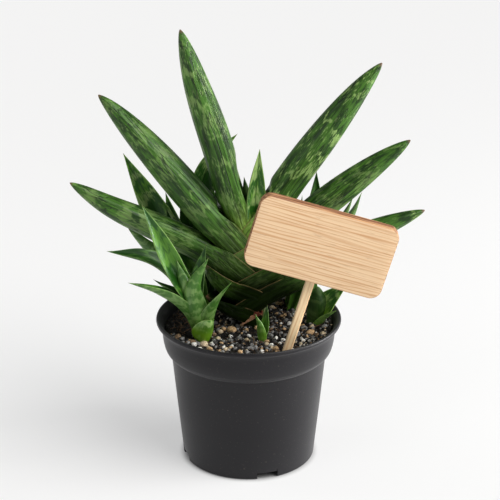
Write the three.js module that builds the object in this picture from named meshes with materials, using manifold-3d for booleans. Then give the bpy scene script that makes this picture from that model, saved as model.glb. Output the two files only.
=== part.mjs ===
// A potted snake plant with a fan of thick round leaves and six young shoots round it.
// Millimetres, +Z up. The origin is where the pot's axis meets the surface it stands on.
// +X is to the right and -Y is towards the viewer of the plant's front.
import * as THREE from 'three';
import { ConvexGeometry } from 'three/addons/geometries/ConvexGeometry.js';
import { LoftGeometry } from 'three/addons/geometries/LoftGeometry.js';
import { mergeVertices } from 'three/addons/utils/BufferGeometryUtils.js';
import Module from 'manifold-3d';

const wasm = await Module();
wasm.setup();

// Driving dimensions, in mm
const GAP = 0.35;
const POT_HEIGHT = 96.9;
const RIM_RADIUS = 60;
const FOOT_RADIUS = 42.4;
const WALL = 1.3;
const FLOOR_UNDERSIDE = 5.5;
const FLOOR_TOP = 6.9;
const SEGMENTS = 40;
const NOTCH = { width: 13.5, height: 4.4, depth: 12, first: 16.5, count: 4 };
const DRAIN = { radius: 3.2, circle: 27 };
const SOIL_LEVEL = 88;
const LABEL = {
  foot: [24, -46, 88],
  board: { width: 87.9, height: 47.4, thick: 8, corner: 7, tilt: 16.4, across: 20.4, up: 73.6 },
  stick: { width: 5.8, thick: 3.4, tilt: 16.6, down: 34, up: 91 },
};

const radians = THREE.MathUtils.degToRad;
const mix = THREE.MathUtils.lerp;

// Solids and geometries

// A closed geometry becomes a solid: its shared corners are merged by position alone.
function solid(geometry) {
  const bare = new THREE.BufferGeometry().copy(geometry);
  bare.deleteAttribute('normal');
  bare.deleteAttribute('uv');
  const merged = mergeVertices(bare, 1e-4);
  const index = merged.index.array;
  const corners = [];
  for (let i = 0; i < index.length; i += 3) {
    const [a, b, c] = [index[i], index[i + 1], index[i + 2]];
    if (a !== b && b !== c && c !== a) {
      corners.push(a, b, c);
    }
  }
  const mesh = new wasm.Mesh({
    numProp: 3,
    vertProperties: new Float32Array(merged.attributes.position.array),
    triVerts: new Uint32Array(corners),
  });
  return new wasm.Manifold(mesh);
}

function geometryOf(manifold) {
  const mesh = manifold.getMesh();
  const geometry = new THREE.BufferGeometry();
  geometry.setAttribute('position', new THREE.BufferAttribute(mesh.vertProperties, 3));
  geometry.setIndex(new THREE.BufferAttribute(mesh.triVerts, 1));
  return geometry;
}

// A cut can leave loose scraps, so only the largest piece of what is left stays.
function largest(manifold) {
  const pieces = manifold.decompose();
  pieces.sort((one, other) => other.volume() - one.volume());
  return pieces[0];
}

function finish(colour, roughness) {
  return new THREE.MeshStandardMaterial({ color: colour, roughness, metalness: 0 });
}

const finishes = {
  pot: finish(0x2d2e30, 0.45),
  soil: finish(0x3a332c, 0.95),
  fan: finish(0x2f5a2a, 0.5),
  young: finish(0x4c8a2e, 0.45),
  crown: finish(0xb9c48a, 0.6),
  board: finish(0xe0bc8c, 0.6),
  stick: finish(0xd8b488, 0.65),
};

const plant = new THREE.Group();

function addNode(name, geometry, material) {
  const mesh = new THREE.Mesh(geometry, material);
  mesh.name = name;
  plant.add(mesh);
  return mesh;
}

// Pot: a lathed wall with a flared band and a rolled rim, on a foot ring with four notches

// The inside of the wall below the soil's edge as [radius, height], from the floor up
const innerWall = [
  [42.3, FLOOR_TOP],
  [45.4, 36],
  [49, 73.6],
  [51.7, 75.3],
  [52.9, 77.4],
  [53.7, 80],
  [54.3, 83.4],
];

// Half of the pot's section as [radius, height], up the outside and down the inside
const potSection = [
  [0, FLOOR_UNDERSIDE],
  [FOOT_RADIUS - WALL - 0.3, FLOOR_UNDERSIDE],
  [FOOT_RADIUS - WALL, 0],
  [FOOT_RADIUS, 0],
  [43.1, 1],
  [46.7, 36],
  [50.3, 72.6],
  [52.6, 74],
  [54.1, 76.4],
  [55, 79.6],
  [55.6, 83],
  [56.2, 90.5],
  [57.5, 93.2],
  [59.5, 94],
  [RIM_RADIUS, 95.3],
  [59.4, POT_HEIGHT],
  [57.9, POT_HEIGHT - 0.3],
  [56.2, 94.4],
  [54.9, 91],
  ...innerWall.toReversed(),
  [0, FLOOR_TOP],
];

function lathe(section) {
  const points = section.map(([radius, height]) => new THREE.Vector2(radius, height));
  const geometry = new THREE.LatheGeometry(points, SEGMENTS);
  geometry.rotateX(Math.PI / 2);
  return geometry;
}

function makePot() {
  let pot = solid(lathe(potSection));
  const drainLength = 4 * (FLOOR_TOP - FLOOR_UNDERSIDE);
  for (let i = 0; i < NOTCH.count; i += 1) {
    const turn = radians(NOTCH.first + (360 / NOTCH.count) * i);
    const notch = new THREE.BoxGeometry(NOTCH.width, NOTCH.depth, 2 * NOTCH.height);
    notch.translate(0, -FOOT_RADIUS, 0);
    notch.rotateZ(turn);
    pot = pot.subtract(solid(notch));
    const drain = new THREE.CylinderGeometry(DRAIN.radius, DRAIN.radius, drainLength, 10);
    drain.rotateX(Math.PI / 2);
    drain.translate(0, -DRAIN.circle, FLOOR_TOP);
    drain.rotateZ(turn);
    pot = pot.subtract(solid(drain));
  }
  return pot;
}

addNode('pot', geometryOf(makePot()), finishes.pot);

// Leaves
//
// Every leaf is lofted along a curve through its path. Its section is a lens whose middle line
// is bent into an arc. The foot clasps the younger leaves, and the blade tapers to the tip.
//   path    points that its middle runs through, from the foot to the tip
//   width   across the blade, measured along the arc
//   thick   of the blade at its middle
//   foot    the same two sizes at the foot
//   wrap    half angle of the arc in degrees, at the foot and on the blade
//   share   part of the leaf's length over which the foot turns into the blade
//   facing  direction that the hollow side looks to
//   taper   width at the share u of the length, with rest the widths left to the tip
//   ridge   share by which every second point of the section lies further in, as a groove

// The rings stand closer towards the tip, and the last one is left open by this share.
const RING_SPACING = 1.25;
const BLUNT_TIP = 0.003;

const roundLeaf = {
  wrap: [10, 10],
  share: 0.3,
  facing: [0, 0, 1],
  points: 12,
  rings: 11,
  ridge: 0.035,
  taper: (u, rest) => (1 - (1 - Math.min(1, rest / 4)) ** 2) ** 0.68,
};

const youngLeaf = {
  thick: 2.6,
  foot: [9, 1.8],
  wrap: [80, 50],
  share: 0.4,
  facing: [0, 0, 1],
  points: 8,
  rings: 7,
  ridge: 0,
  taper: (u, rest) => {
    const point = Math.sin((Math.PI / 2) * Math.min(1, rest / 2.6)) ** 1.1;
    return point * (0.75 + 0.25 * Math.min(1, 2 * u));
  },
};

// One closed ring of a leaf's section at the share u of its length
function leafRing(leaf, curve, length, u, grow) {
  const middle = curve.getPointAt(u);
  const along = curve.getTangentAt(u);
  middle.addScaledVector(along, grow * Math.sign(u - 0.5));
  const inner = new THREE.Vector3(...leaf.facing);
  inner.addScaledVector(along, -inner.dot(along)).normalize();
  const across = new THREE.Vector3().crossVectors(along, inner);
  const opened = THREE.MathUtils.smoothstep(u, 0, leaf.share);
  const taper = leaf.taper(u, ((1 - u) * length) / leaf.width);
  const wrap = radians(mix(leaf.wrap[0], leaf.wrap[1], opened));
  const half = mix(leaf.foot[0], leaf.width * taper, opened) / 2 + grow;
  const depth = mix(leaf.foot[1], leaf.thick * taper, opened) / 2 + grow;
  const bend = half / wrap;
  const ring = [];
  for (let i = 0; i < leaf.points; i += 1) {
    const turn = (-i / leaf.points) * 2 * Math.PI;
    const ridge = 1 - (i % 2) * leaf.ridge;
    const angle = Math.cos(turn) * ridge * wrap;
    const rise = Math.sin(turn) * ridge * depth;
    const point = middle.clone();
    point.addScaledVector(across, (bend - rise) * Math.sin(angle));
    point.addScaledVector(inner, bend - (bend - rise) * Math.cos(angle));
    ring.push(point);
  }
  return ring;
}

// The leaf as a solid; with grow above 0 it is that much fatter all round.
function leafSolid(leaf, grow = 0) {
  const path = leaf.path.map((point) => new THREE.Vector3(...point));
  const curve = new THREE.CatmullRomCurve3(path, false, 'centripetal');
  const length = curve.getLength();
  const rings = [];
  for (let i = 0; i <= leaf.rings; i += 1) {
    const u = 1 - (1 - i / leaf.rings) ** RING_SPACING;
    rings.push(leafRing(leaf, curve, length, Math.min(u, 1 - BLUNT_TIP), grow));
  }
  return solid(new LoftGeometry(rings, { capStart: true, capEnd: true }));
}

// The fan: leaves in two rows, listed from the youngest in the middle to the oldest outside
const fan = {
  name: 'fan',
  crown: { at: [6, 13], radius: 8, tip: 3, from: 66, to: 132 },
  material: finishes.fan,
  leaves: [
    { ...youngLeaf, name: 'heart', width: 16, thick: 3, foot: [12, 3], facing: [0.3, -1, 0],
      path: [[6, 12, 122], [5, 11, 148], [4, 9, 175], [7, 7, 208]] },
    { ...youngLeaf, name: 'heart_tip', width: 11, thick: 3, foot: [10, 3], facing: [0.3, 1, 0],
      path: [[5, 18, 122], [1, 18, 150], [-3, 17, 186]] },
    { ...roundLeaf, name: 'tall', width: 20, thick: 20, foot: [16, 14], share: 0.38,
      path: [[5, 13, 124], [0, 13, 141], [-6, 13, 159], [-10, 12, 171], [-20, 11, 209], [-33, 9, 251],
        [-42, 7, 285]] },
    { ...roundLeaf, name: 'right_high', width: 21, thick: 21, foot: [18, 16],
      path: [[3, 13, 122], [0, 13, 137], [9, 13, 157], [24, 13, 182], [45, 14, 211], [70, 15, 245],
        [83, 16, 261]] },
    { ...roundLeaf, name: 'left_high', width: 22, thick: 22, foot: [20, 19],
      path: [[7, 13, 123], [2, 13, 129.5], [-7, 13, 140], [-22, 12, 157], [-58, 12, 201], [-85, 13, 232],
        [-94, 14, 241]] },
    { ...roundLeaf, name: 'right_middle', width: 18, thick: 19, foot: [20.8, 19.5],
      path: [[-6, 13, 127], [3, 13, 132.5], [23, 13, 147], [43, 12, 165], [76, 12, 192], [102, 12, 212]] },
    { ...roundLeaf, name: 'left_low', width: 18, thick: 18, foot: [21.8, 20.5],
      path: [[6, 13, 109], [2, 13, 113.5], [-13, 12.5, 126.5], [-25, 12, 136], [-39, 12, 143.5],
        [-61, 11, 155], [-89, 10, 169], [-114, 9, 185]] },
    { ...roundLeaf, name: 'right_low', width: 17, thick: 17, foot: [24, 21.5],
      path: [[-3, 13, 107], [10, 13, 116], [25, 13, 123.5], [40, 14, 131], [53, 15, 138], [84, 17, 151],
        [114, 18, 163]] },
    { ...roundLeaf, name: 'base_left_upper', width: 18, thick: 14, foot: [25.5, 23], rings: 8, share: 0.6,
      facing: [1, -0.6, 1], path: [[5, 13, 89], [1, 12.5, 103], [-9, 10, 114], [-19, 6, 122], [-29, 2, 133]] },
    { ...roundLeaf, name: 'base_right', width: 20, thick: 18, foot: [27, 25], rings: 8, share: 0.6,
      path: [[3, 13, 84], [6, 12.5, 98], [18, 11, 110], [33, 9, 118], [52, 6, 130]] },
    { ...roundLeaf, name: 'base_left_lower', width: 15, thick: 12, foot: [25, 22], rings: 8, share: 0.6,
      path: [[0, 12, 81], [-3, 11, 90], [-9, 7, 99], [-19, 2, 106], [-28, -2, 112]] },
  ],
};

const pups = [
  { name: 'pup_front_left', crown: { at: [-28, -16], radius: 2.6, tip: 1.6, from: 74, to: 94 },
    leaves: [
      { name: '1', width: 10, facing: [0, -1, 0.2],
        path: [[-29, -15, 92], [-37, -14, 112], [-46, -13, 140]] },
      { name: '2', width: 17, facing: [0.3, -1, 0.3],
        path: [[-31, -15, 90], [-36, -17, 112], [-48, -20, 138], [-66, -24, 181]] },
      { name: '3', width: 18, facing: [-0.2, 1, 0],
        path: [[-28, -19, 88], [-30, -22, 106], [-33, -24, 127], [-25, -22, 146]] },
      { name: '4', width: 15, path: [[-26, -17, 87], [-24, -20, 104], [-19, -24, 119], [-10, -27, 132]] },
      { name: '5', width: 14, facing: [0, -1, 0.2],
        path: [[-28, -12, 88], [-28, -9, 118], [-26, -7, 147]] },
      { name: '6', width: 15, facing: [0.2, -0.5, 1],
        path: [[-32, -16, 86], [-41, -19, 108], [-56, -23, 122], [-76, -27, 131]] },
      { name: '7', width: 13, path: [[-31, -12, 86], [-40, -11, 110], [-61, -9, 126]] },
      { name: '8', width: 16, facing: [0.2, -0.5, 1],
        path: [[-30, -11, 86], [-41, -9, 118], [-60, -9, 138], [-90, -9, 145]] },
      { name: '9', width: 13, facing: [0, 1, 0.3], wrap: [95, 70], foot: [13, 1.8],
        path: [[-27, -19, 84], [-26.5, -23, 94], [-25.5, -25, 103]] },
    ] },
  { name: 'pup_back_left', crown: { at: [-26, 31], radius: 3, tip: 1.8, from: 68, to: 87 },
    leaves: [
      { name: '1', width: 14, facing: [0, -1, 0.2],
        path: [[-27, 30, 86], [-36, 30, 120], [-48, 30, 148], [-54, 30, 171]] },
      { name: '2', width: 19, thick: 4, facing: [0, -1, 0.3],
        path: [[-29, 33, 85], [-42, 33, 120], [-62, 32, 160], [-81, 32, 197]] },
      { name: '3', width: 16, path: [[-26, 35, 84], [-34, 38, 120], [-44, 38, 145], [-46, 38, 162]] },
      { name: '4', width: 17, path: [[-30, 28, 83], [-46, 25, 112], [-66, 23, 134], [-78, 21, 149]] },
    ] },
  { name: 'pup_back', crown: { at: [-4, 40], radius: 3, tip: 1.8, from: 68, to: 87 },
    leaves: [
      { name: '1', width: 20, facing: [0, -1, 0.2],
        path: [[-5, 39, 86], [-24, 38, 135], [-31, 37, 175], [-24, 36, 195], [-7, 35, 209]] },
      { name: '2', width: 14, path: [[-7, 43, 84], [-20, 44, 130], [-27, 44, 160], [-25, 45, 177]] },
      { name: '3', width: 14, facing: [0, 1, 0],
        path: [[-2, 36, 83], [-12, 34, 130], [-22, 33, 160], [-23, 32, 174]] },
    ] },
  { name: 'pup_back_right', crown: { at: [28, 34], radius: 3, tip: 1.8, from: 68, to: 87 },
    leaves: [
      { name: '1', width: 13, facing: [0, -1, 0.2],
        path: [[28, 33, 86], [38, 34, 130], [43, 34, 160], [44, 34, 184]] },
      { name: '2', width: 12, path: [[27, 38, 84], [34, 39, 130], [35, 39, 166]] },
      { name: '3', width: 14, path: [[31, 33, 83], [48, 32, 125], [62, 30, 152], [68, 30, 168]] },
      { name: '4', width: 14, path: [[31, 37, 82], [50, 37, 122], [67, 36, 150], [74, 36, 169]] },
    ] },
  { name: 'pup_right', crown: { at: [43, 8], radius: 2.6, tip: 1.6, from: 74, to: 94 },
    leaves: [
      { name: '1', width: 15, path: [[44, 8, 90], [50, 3, 104], [62, -5, 120]] },
      { name: '2', width: 18, facing: [0, 1, 0.2], path: [[43.5, 5, 86], [45, 1, 101], [44, -2, 118]] },
      { name: '3', width: 12, facing: [0, -1, 0.2], path: [[42, 11, 88], [43, 13, 104], [44, 15, 117]] },
      { name: '4', width: 13, wrap: [90, 70], path: [[43, 4, 84], [49, -1, 95], [57, -8, 104]] },
    ] },
  { name: 'pup_tiny', crown: { at: [8.5, -18.5], radius: 1.7, tip: 1.2, from: 76, to: 91 },
    leaves: [
      { name: '1', width: 9, facing: [-0.4, -1, 0.2], thick: 2, foot: [6, 1.6],
        path: [[9, -17, 86], [11, -17, 100], [12, -17, 112]] },
      { name: '2', width: 11, facing: [0.6, 1, 0], thick: 2, foot: [8, 1.6],
        path: [[8, -20, 84], [7, -23, 98], [4, -25, 109]] },
    ] },
];

// The stem that a shoot's leaves grow from, narrowing to a blunt top
function crownSolid({ at, radius, tip, from, to }, grow = 0) {
  const section = [
    new THREE.Vector2(0, from - grow),
    new THREE.Vector2(radius + grow, from - grow),
    new THREE.Vector2(radius + grow, mix(from, to, 0.3)),
    new THREE.Vector2(tip + grow, to - tip / 2 + grow),
    new THREE.Vector2(0, to + grow),
  ];
  const geometry = new THREE.LatheGeometry(section, 10);
  geometry.rotateX(Math.PI / 2);
  geometry.translate(at[0], at[1], 0);
  return solid(geometry);
}

// The hole that a shoot stands in, a plain convex one round all of it that is under the soil
function holeFor(shootBody) {
  const buried = shootBody.trimByPlane([0, 0, -1], -(SOIL_LEVEL + 2)).getMesh();
  const corners = [];
  for (let i = 0; i < buried.vertProperties.length; i += 3) {
    corners.push(new THREE.Vector3(...buried.vertProperties.subarray(i, i + 3)));
  }
  return solid(new ConvexGeometry(corners));
}

// Each leaf is cut back from the crown and the younger leaves that it wraps round.
function addShoot(shoot) {
  let taken = crownSolid(shoot.crown, GAP);
  addNode(`${shoot.name}_crown`, geometryOf(crownSolid(shoot.crown)), finishes.crown);
  for (const leaf of shoot.leaves) {
    const body = largest(leafSolid(leaf).subtract(taken));
    addNode(`${shoot.name}_leaf_${leaf.name}`, geometryOf(body), shoot.material ?? finishes.young);
    taken = taken.add(leafSolid(leaf, GAP));
  }
  return holeFor(taken);
}

const shoots = [fan, ...pups.map((pup) => ({
  ...pup,
  leaves: pup.leaves.map((leaf) => ({ ...youngLeaf, ...leaf })),
}))];
const shootHoles = shoots.map(addShoot);

// Label: a rounded wooden board glued to the front of a flat stick, both upright

const label = new THREE.Group();
label.position.set(...LABEL.foot);
label.rotation.x = radians(90);
plant.add(label);

function roundedBlock(width, height, depth, corner, bevel, curveSegments) {
  const [x, y] = [width / 2 - bevel, height / 2 - bevel];
  const shape = new THREE.Shape();
  shape.moveTo(-x + corner, -y);
  shape.lineTo(x - corner, -y);
  shape.absarc(x - corner, -y + corner, corner, -Math.PI / 2, 0);
  shape.lineTo(x, y - corner);
  shape.absarc(x - corner, y - corner, corner, 0, Math.PI / 2);
  shape.lineTo(-x + corner, y);
  shape.absarc(-x + corner, y - corner, corner, Math.PI / 2, Math.PI);
  shape.lineTo(-x, -y + corner);
  shape.absarc(-x + corner, -y + corner, corner, Math.PI, 1.5 * Math.PI);
  const geometry = new THREE.ExtrudeGeometry(shape, {
    depth: depth - 2 * bevel,
    bevelSize: bevel,
    bevelThickness: bevel,
    bevelSegments: 1,
    curveSegments,
  });
  geometry.translate(0, 0, bevel - depth);
  return geometry;
}

function makeBoard() {
  const { width, height, thick, corner, tilt, across, up } = LABEL.board;
  const geometry = roundedBlock(width, height, thick, corner, 0.5, 4);
  geometry.rotateZ(-radians(tilt));
  geometry.translate(across, up, 0);
  return geometry;
}

// The stick stands behind the board, with its middle on the foot of the label at soil level.
function makeStick(grow = 0) {
  const { width, thick, tilt, down, up } = LABEL.stick;
  const geometry = roundedBlock(width + 2 * grow, down + up + 2 * grow, thick + 2 * grow, 1, 0.4, 1);
  geometry.translate(0, (up - down) / 2, grow - LABEL.board.thick - GAP);
  geometry.rotateZ(-radians(tilt));
  return geometry;
}

const board = new THREE.Mesh(geometryOf(solid(makeBoard())), finishes.board);
board.name = 'label_board';
label.add(board);
const stick = new THREE.Mesh(geometryOf(solid(makeStick())), finishes.stick);
stick.name = 'label_stick';
label.add(stick);
label.updateMatrixWorld(true);

// Soil: it fills the pot to under the rim, with a rough top, pebbles, and a hole for each shoot

// A small repeatable source of numbers from 0 to 1
function seeded(seed) {
  let state = seed;
  return () => {
    state = (state * 16807) % 2147483647;
    return state / 2147483647;
  };
}

// Height of the soil's top: a slight crown with low waves
function soilTop(x, y) {
  const waves = Math.sin(x * 0.31 + 1) * Math.cos(y * 0.27) + 0.6 * Math.sin(x * 0.13 - y * 0.21 + 2);
  return SOIL_LEVEL + 0.7 * waves - Math.hypot(x, y) * 0.02;
}

// The soil follows the inside of the wall up, and its top closes over rings of these radii.
const SOIL_RINGS = [53.6, 47, 39, 29, 17, 4];

function makeSoilBody() {
  const sides = innerWall.map(([radius, height]) => ({ radius: radius - GAP, height: height + GAP }));
  const top = SOIL_RINGS.map((radius) => ({ radius, height: null }));
  const rings = [...sides, ...top];
  const sections = rings.map(({ radius, height }) => {
    const ring = [];
    for (let i = 0; i < SEGMENTS; i += 1) {
      const turn = (i / SEGMENTS) * 2 * Math.PI;
      const [x, y] = [radius * Math.cos(turn), radius * Math.sin(turn)];
      ring.push(new THREE.Vector3(x, y, height ?? soilTop(x, y)));
    }
    return ring;
  });
  return solid(new LoftGeometry(sections, { capStart: true, capEnd: true }));
}

// Pebbles that show at the front, as [x, y, radius], and how many more lie all over
const shownPebbles = [
  [-45, -19, 2.8], [-35.5, -24, 2.2], [-28.5, -25, 2.8], [-21.5, -24.5, 2.2], [-11, -7, 3.4],
  [1.5, -24, 1.4], [11.5, -25, 1.8], [17, -32.5, 2.6], [40, -9, 3], [44, -15, 1.8], [47.5, -17.5, 2],
];
const SCATTERED = { count: 32, reach: 49, smallest: 1.3, spread: 1.3 };

function makePebble(x, y, radius, random) {
  const geometry = new THREE.IcosahedronGeometry(radius, 0);
  geometry.scale(1, 0.75 + 0.3 * random(), 0.6 + 0.25 * random());
  geometry.rotateX(random() * 0.8);
  geometry.rotateZ(random() * 6);
  geometry.translate(x, y, soilTop(x, y) + radius * 0.15);
  return solid(geometry);
}

function makeSoil() {
  const random = seeded(7);
  const pebbles = shownPebbles.map(([x, y, radius]) => makePebble(x, y, radius, random));
  for (let i = 0; i < SCATTERED.count; i += 1) {
    const turn = random() * 2 * Math.PI;
    const out = SCATTERED.reach * Math.sqrt(random());
    const radius = SCATTERED.smallest + SCATTERED.spread * random();
    pebbles.push(makePebble(out * Math.cos(turn), out * Math.sin(turn), radius, random));
  }
  let soil = makeSoilBody();
  for (const pebble of pebbles) {
    soil = soil.add(pebble);
  }
  for (const hole of shootHoles) {
    soil = soil.subtract(hole);
  }
  const slot = makeStick(GAP);
  slot.applyMatrix4(label.matrixWorld);
  return largest(soil.subtract(solid(slot)));
}

addNode('soil', geometryOf(makeSoil()), finishes.soil);

export default plant;
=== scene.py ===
# %% [markdown]
# # A potted snake plant with a fan of thick round leaves
#
# The construction is already fixed: every leaf, the pot, the soil and the wooden label exist as plain
# solids in their real places. This lesson gives them their looks. Each plain solid is replaced by a finer
# surface that keeps its form, and each surface gets a material made of nodes.
#
# We work in metres, +Z up, with the origin where the pot's axis meets the floor. The source sizes below are
# in millimetres, because a plant is easier to read that way, and are scaled once on their way into a mesh.

import bmesh
import bpy
import numpy as np
from mathutils import Matrix, Vector


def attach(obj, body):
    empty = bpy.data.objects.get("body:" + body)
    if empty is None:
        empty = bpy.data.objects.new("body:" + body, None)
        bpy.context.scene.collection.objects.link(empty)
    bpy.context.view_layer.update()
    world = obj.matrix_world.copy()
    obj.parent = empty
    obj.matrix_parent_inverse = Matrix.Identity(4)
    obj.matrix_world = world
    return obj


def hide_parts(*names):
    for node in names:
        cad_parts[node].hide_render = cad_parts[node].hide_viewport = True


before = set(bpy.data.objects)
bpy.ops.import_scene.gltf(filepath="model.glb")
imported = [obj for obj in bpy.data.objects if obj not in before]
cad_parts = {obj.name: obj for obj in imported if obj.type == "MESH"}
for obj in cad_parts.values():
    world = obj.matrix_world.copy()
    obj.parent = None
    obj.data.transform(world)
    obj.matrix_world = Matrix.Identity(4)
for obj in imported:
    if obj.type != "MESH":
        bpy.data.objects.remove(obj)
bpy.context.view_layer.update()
MM = 0.001
print("solids in the frame:", len(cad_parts))

# %% [markdown]
# ## The camera
#
# The pot's rim, its base and its outline tell where the camera stood: 1.1 m from a point close to the pot's
# axis, looking down at 21 degrees, with a long lens. A long lens from far away keeps the pot's sides nearly
# parallel, so we set a focal length instead of moving the camera closer.

# %% Place the camera
CAMERA_TARGET = np.array([0.857, 0.0, 142.3]) * MM
CAMERA_DISTANCE = 1.1
CAMERA_ELEVATION = np.radians(21.416)
FOCAL_PIXELS = 1724.6
FRAME_PIXELS = 500
SENSOR_WIDTH = 36.0

camera_data = bpy.data.cameras.new("camera")
camera_data.sensor_width = SENSOR_WIDTH
camera_data.lens = FOCAL_PIXELS * SENSOR_WIDTH / FRAME_PIXELS
camera = bpy.data.objects.new("camera", camera_data)
view_back = np.array([0, -np.cos(CAMERA_ELEVATION), np.sin(CAMERA_ELEVATION)])
camera.location = CAMERA_TARGET + CAMERA_DISTANCE * view_back
camera.rotation_euler = (np.pi / 2 - CAMERA_ELEVATION, 0, 0)
bpy.context.scene.collection.objects.link(camera)
bpy.context.scene.camera = camera
print("lens in mm:", round(camera_data.lens, 1))

# %% [markdown]
# ## Surfaces from grids of points
#
# Nearly everything on a plant is a tube of some kind: rings of points, one after another along a path. We
# could model such a shape by hand, but a formula over a whole numpy grid is shorter, exact, and easy to
# change. The first helpers join the rings with faces. Both ends of a tube are closed by stitching a
# ring's two halves together, which also works for a ring that is bent like the letter C.

# %% Join rings of points with faces
def side_faces(rings, around):
    """Four-cornered faces between neighbouring rings; point j of ring i has the number i * around + j."""
    i, j = np.meshgrid(np.arange(rings - 1), np.arange(around), indexing="ij")
    after = (j + 1) % around
    corners = [i * around + j, i * around + after, (i + 1) * around + after, (i + 1) * around + j]
    return np.stack(corners, -1).reshape(-1, 4)


def ring_faces(rings, around):
    """The faces of a tube: its sides, and at each end a cap that joins point j to its mirror, around - j."""
    j = np.arange(around // 2)
    cap = np.stack([j, (around - j) % around, around - j - 1, j + 1], -1)
    last = (rings - 1) * around
    return np.vstack([side_faces(rings, around), cap, cap[:, ::-1] + last])


print("faces of a tube of 3 rings with 8 points:", len(ring_faces(3, 8)))

# %% [markdown]
# The sign of a closed surface's volume tells which way its faces look, so we can turn them all outwards
# without asking Blender. Each mesh also gets numbers at its points, which the materials read later on.

# %% Put a surface into the scene
def signed_volume(points, faces):
    """Sum of a . (b x c) / 6 over the triangles of every face; it is negative if the faces look inwards."""
    total = 0.0
    for first, second in ((1, 2), (2, 3)):
        a, b, c = (points[faces[:, k]] for k in (0, first, second))
        total += np.einsum("ij,ij->i", a, np.cross(b, c)).sum() / 6
    return total


def make_piece(name, points, faces, material, replaced, values=None, smooth=True):
    """Makes a mesh object from points in mm, with its faces turned outwards, and ties it to the frame.

    A face that names a corner twice, as a cap's first and last do, becomes a triangle.
    """
    points = points.reshape(-1, 3)
    if faces.shape[1] == 4 and signed_volume(points, faces) < 0:
        faces = faces[:, ::-1]
    mesh = bpy.data.meshes.new(name)
    mesh.from_pydata((points * MM).tolist(), [], [tuple(dict.fromkeys(face)) for face in faces.tolist()])
    mesh.polygons.foreach_set("use_smooth", np.full(len(mesh.polygons), smooth))
    for key, value in (values or {}).items():
        kind, field = ("FLOAT_VECTOR", "vector") if value.ndim == 2 else ("FLOAT", "value")
        layer = mesh.attributes.new(key, kind, "POINT")
        layer.data.foreach_set(field, value.astype(np.float32).ravel())
    mesh.materials.append(material)
    piece = bpy.data.objects.new(name, mesh)
    bpy.context.scene.collection.objects.link(piece)
    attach(piece, "root")
    if replaced:
        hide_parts(*replaced)
    return piece


cube = np.array([[x, y, z] for z in (0, 1) for x, y in ((0, 0), (1, 0), (1, 1), (0, 1))], float)
print("signed volume of a unit cube:", signed_volume(cube, ring_faces(2, 4)))


# %% Step and blend numbers
def smoothstep(value, low=0.0, high=1.0):
    """0 up to low, 1 from high on, and 3t^2 - 2t^3 between them."""
    t = np.clip((value - low) / (high - low), 0, 1)
    return t * t * (3 - 2 * t)


def mix(a, b, share):
    """a where share is 0, b where it is 1, and on a straight line between."""
    return a + (b - a) * share


print("halfway from 2 to 4:", mix(2, 4, smoothstep(0.5)))

# %% [markdown]
# ## Smooth paths
#
# A leaf's middle is given by a few points. A spline through them must not overshoot where two points lie
# close together, so we use the centripetal kind, whose knots are spaced by the square root of the distance.
# The curve is sampled finely once and then read off at the lengths that we want.

# %% Draw a smooth curve through a few points
SPLINE_STEPS = 64
HALF_STEP = 0.5


def smooth_path(points, shares):
    """Places and directions on a centripetal spline through the points, at the given shares of its length.

    Between P1 and P2 it is the cubic with the slopes m1 and m2, which follow from the neighbours P0 and P3
    and from the knot steps d = |P(k+1) - P(k)| ** 0.5.
    """
    p = np.asarray(points, float)
    p = np.vstack([2 * p[0] - p[1], p, 2 * p[-1] - p[-2]])
    step = np.linalg.norm(np.diff(p, axis=0), axis=1, keepdims=True) ** 0.5
    p0, p1, p2, p3 = p[:-3], p[1:-2], p[2:-1], p[3:]
    d0, d1, d2 = step[:-2], step[1:-1], step[2:]
    m1 = ((p1 - p0) / d0 - (p2 - p0) / (d0 + d1) + (p2 - p1) / d1) * d1
    m2 = ((p2 - p1) / d1 - (p3 - p1) / (d1 + d2) + (p3 - p2) / d2) * d1
    t = np.linspace(0, 1, SPLINE_STEPS + 1)[None, :-1, None]
    a = (2 * p1 - 2 * p2 + m1 + m2)[:, None]
    b = (-3 * p1 + 3 * p2 - 2 * m1 - m2)[:, None]
    curve = ((a * t + b) * t + m1[:, None]) * t + p1[:, None]
    curve = np.vstack([curve.reshape(-1, 3), p[-2]])
    reach = np.r_[0, np.cumsum(np.linalg.norm(np.diff(curve, axis=0), axis=1))]
    wanted = shares * reach[-1]
    place = np.stack([np.interp(wanted, reach, curve[:, k]) for k in range(3)], -1)
    ahead = np.stack([np.interp(wanted + HALF_STEP, reach, curve[:, k]) for k in range(3)], -1)
    behind = np.stack([np.interp(wanted - HALF_STEP, reach, curve[:, k]) for k in range(3)], -1)
    along = ahead - behind
    return place, along / np.linalg.norm(along, axis=1, keepdims=True), reach[-1]


straight = smooth_path([[0, 0, 0], [0, 0, 30]], np.array([0, 1]))
print("a straight path of 30 mm measures", round(straight[2], 3))

# %% [markdown]
# ## Small helpers for material nodes
#
# A material is a graph. Written out in full, each node takes three or four lines, and the idea gets lost.
# So one helper adds a node and fills its inputs, with either a plain value or another node's output. On
# it rest a few more, for sums, smooth steps, blends and noise, so that a finish reads like a recipe.

# %% Add and wire shader nodes
def add(tree, kind, inputs=None, **settings):
    """Adds a node; inputs maps a socket's name or number to a value or to another node's output socket."""
    made = tree.nodes.new(kind)
    for key, value in settings.items():
        setattr(made, key, value)
    for key, value in (inputs or {}).items():
        if isinstance(value, bpy.types.NodeSocket):
            tree.links.new(value, made.inputs[key])
        else:
            made.inputs[key].default_value = value
    return made


def math(tree, operation, *values):
    """One Math node for one step of a sum."""
    return add(tree, "ShaderNodeMath", dict(enumerate(values)), operation=operation).outputs[0]


def scaled(tree, vector, factors):
    """The vector with each part times its own factor; a larger factor makes a pattern finer that way."""
    return add(tree, "ShaderNodeVectorMath", {0: vector, 1: factors}, operation="MULTIPLY").outputs[0]


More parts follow.
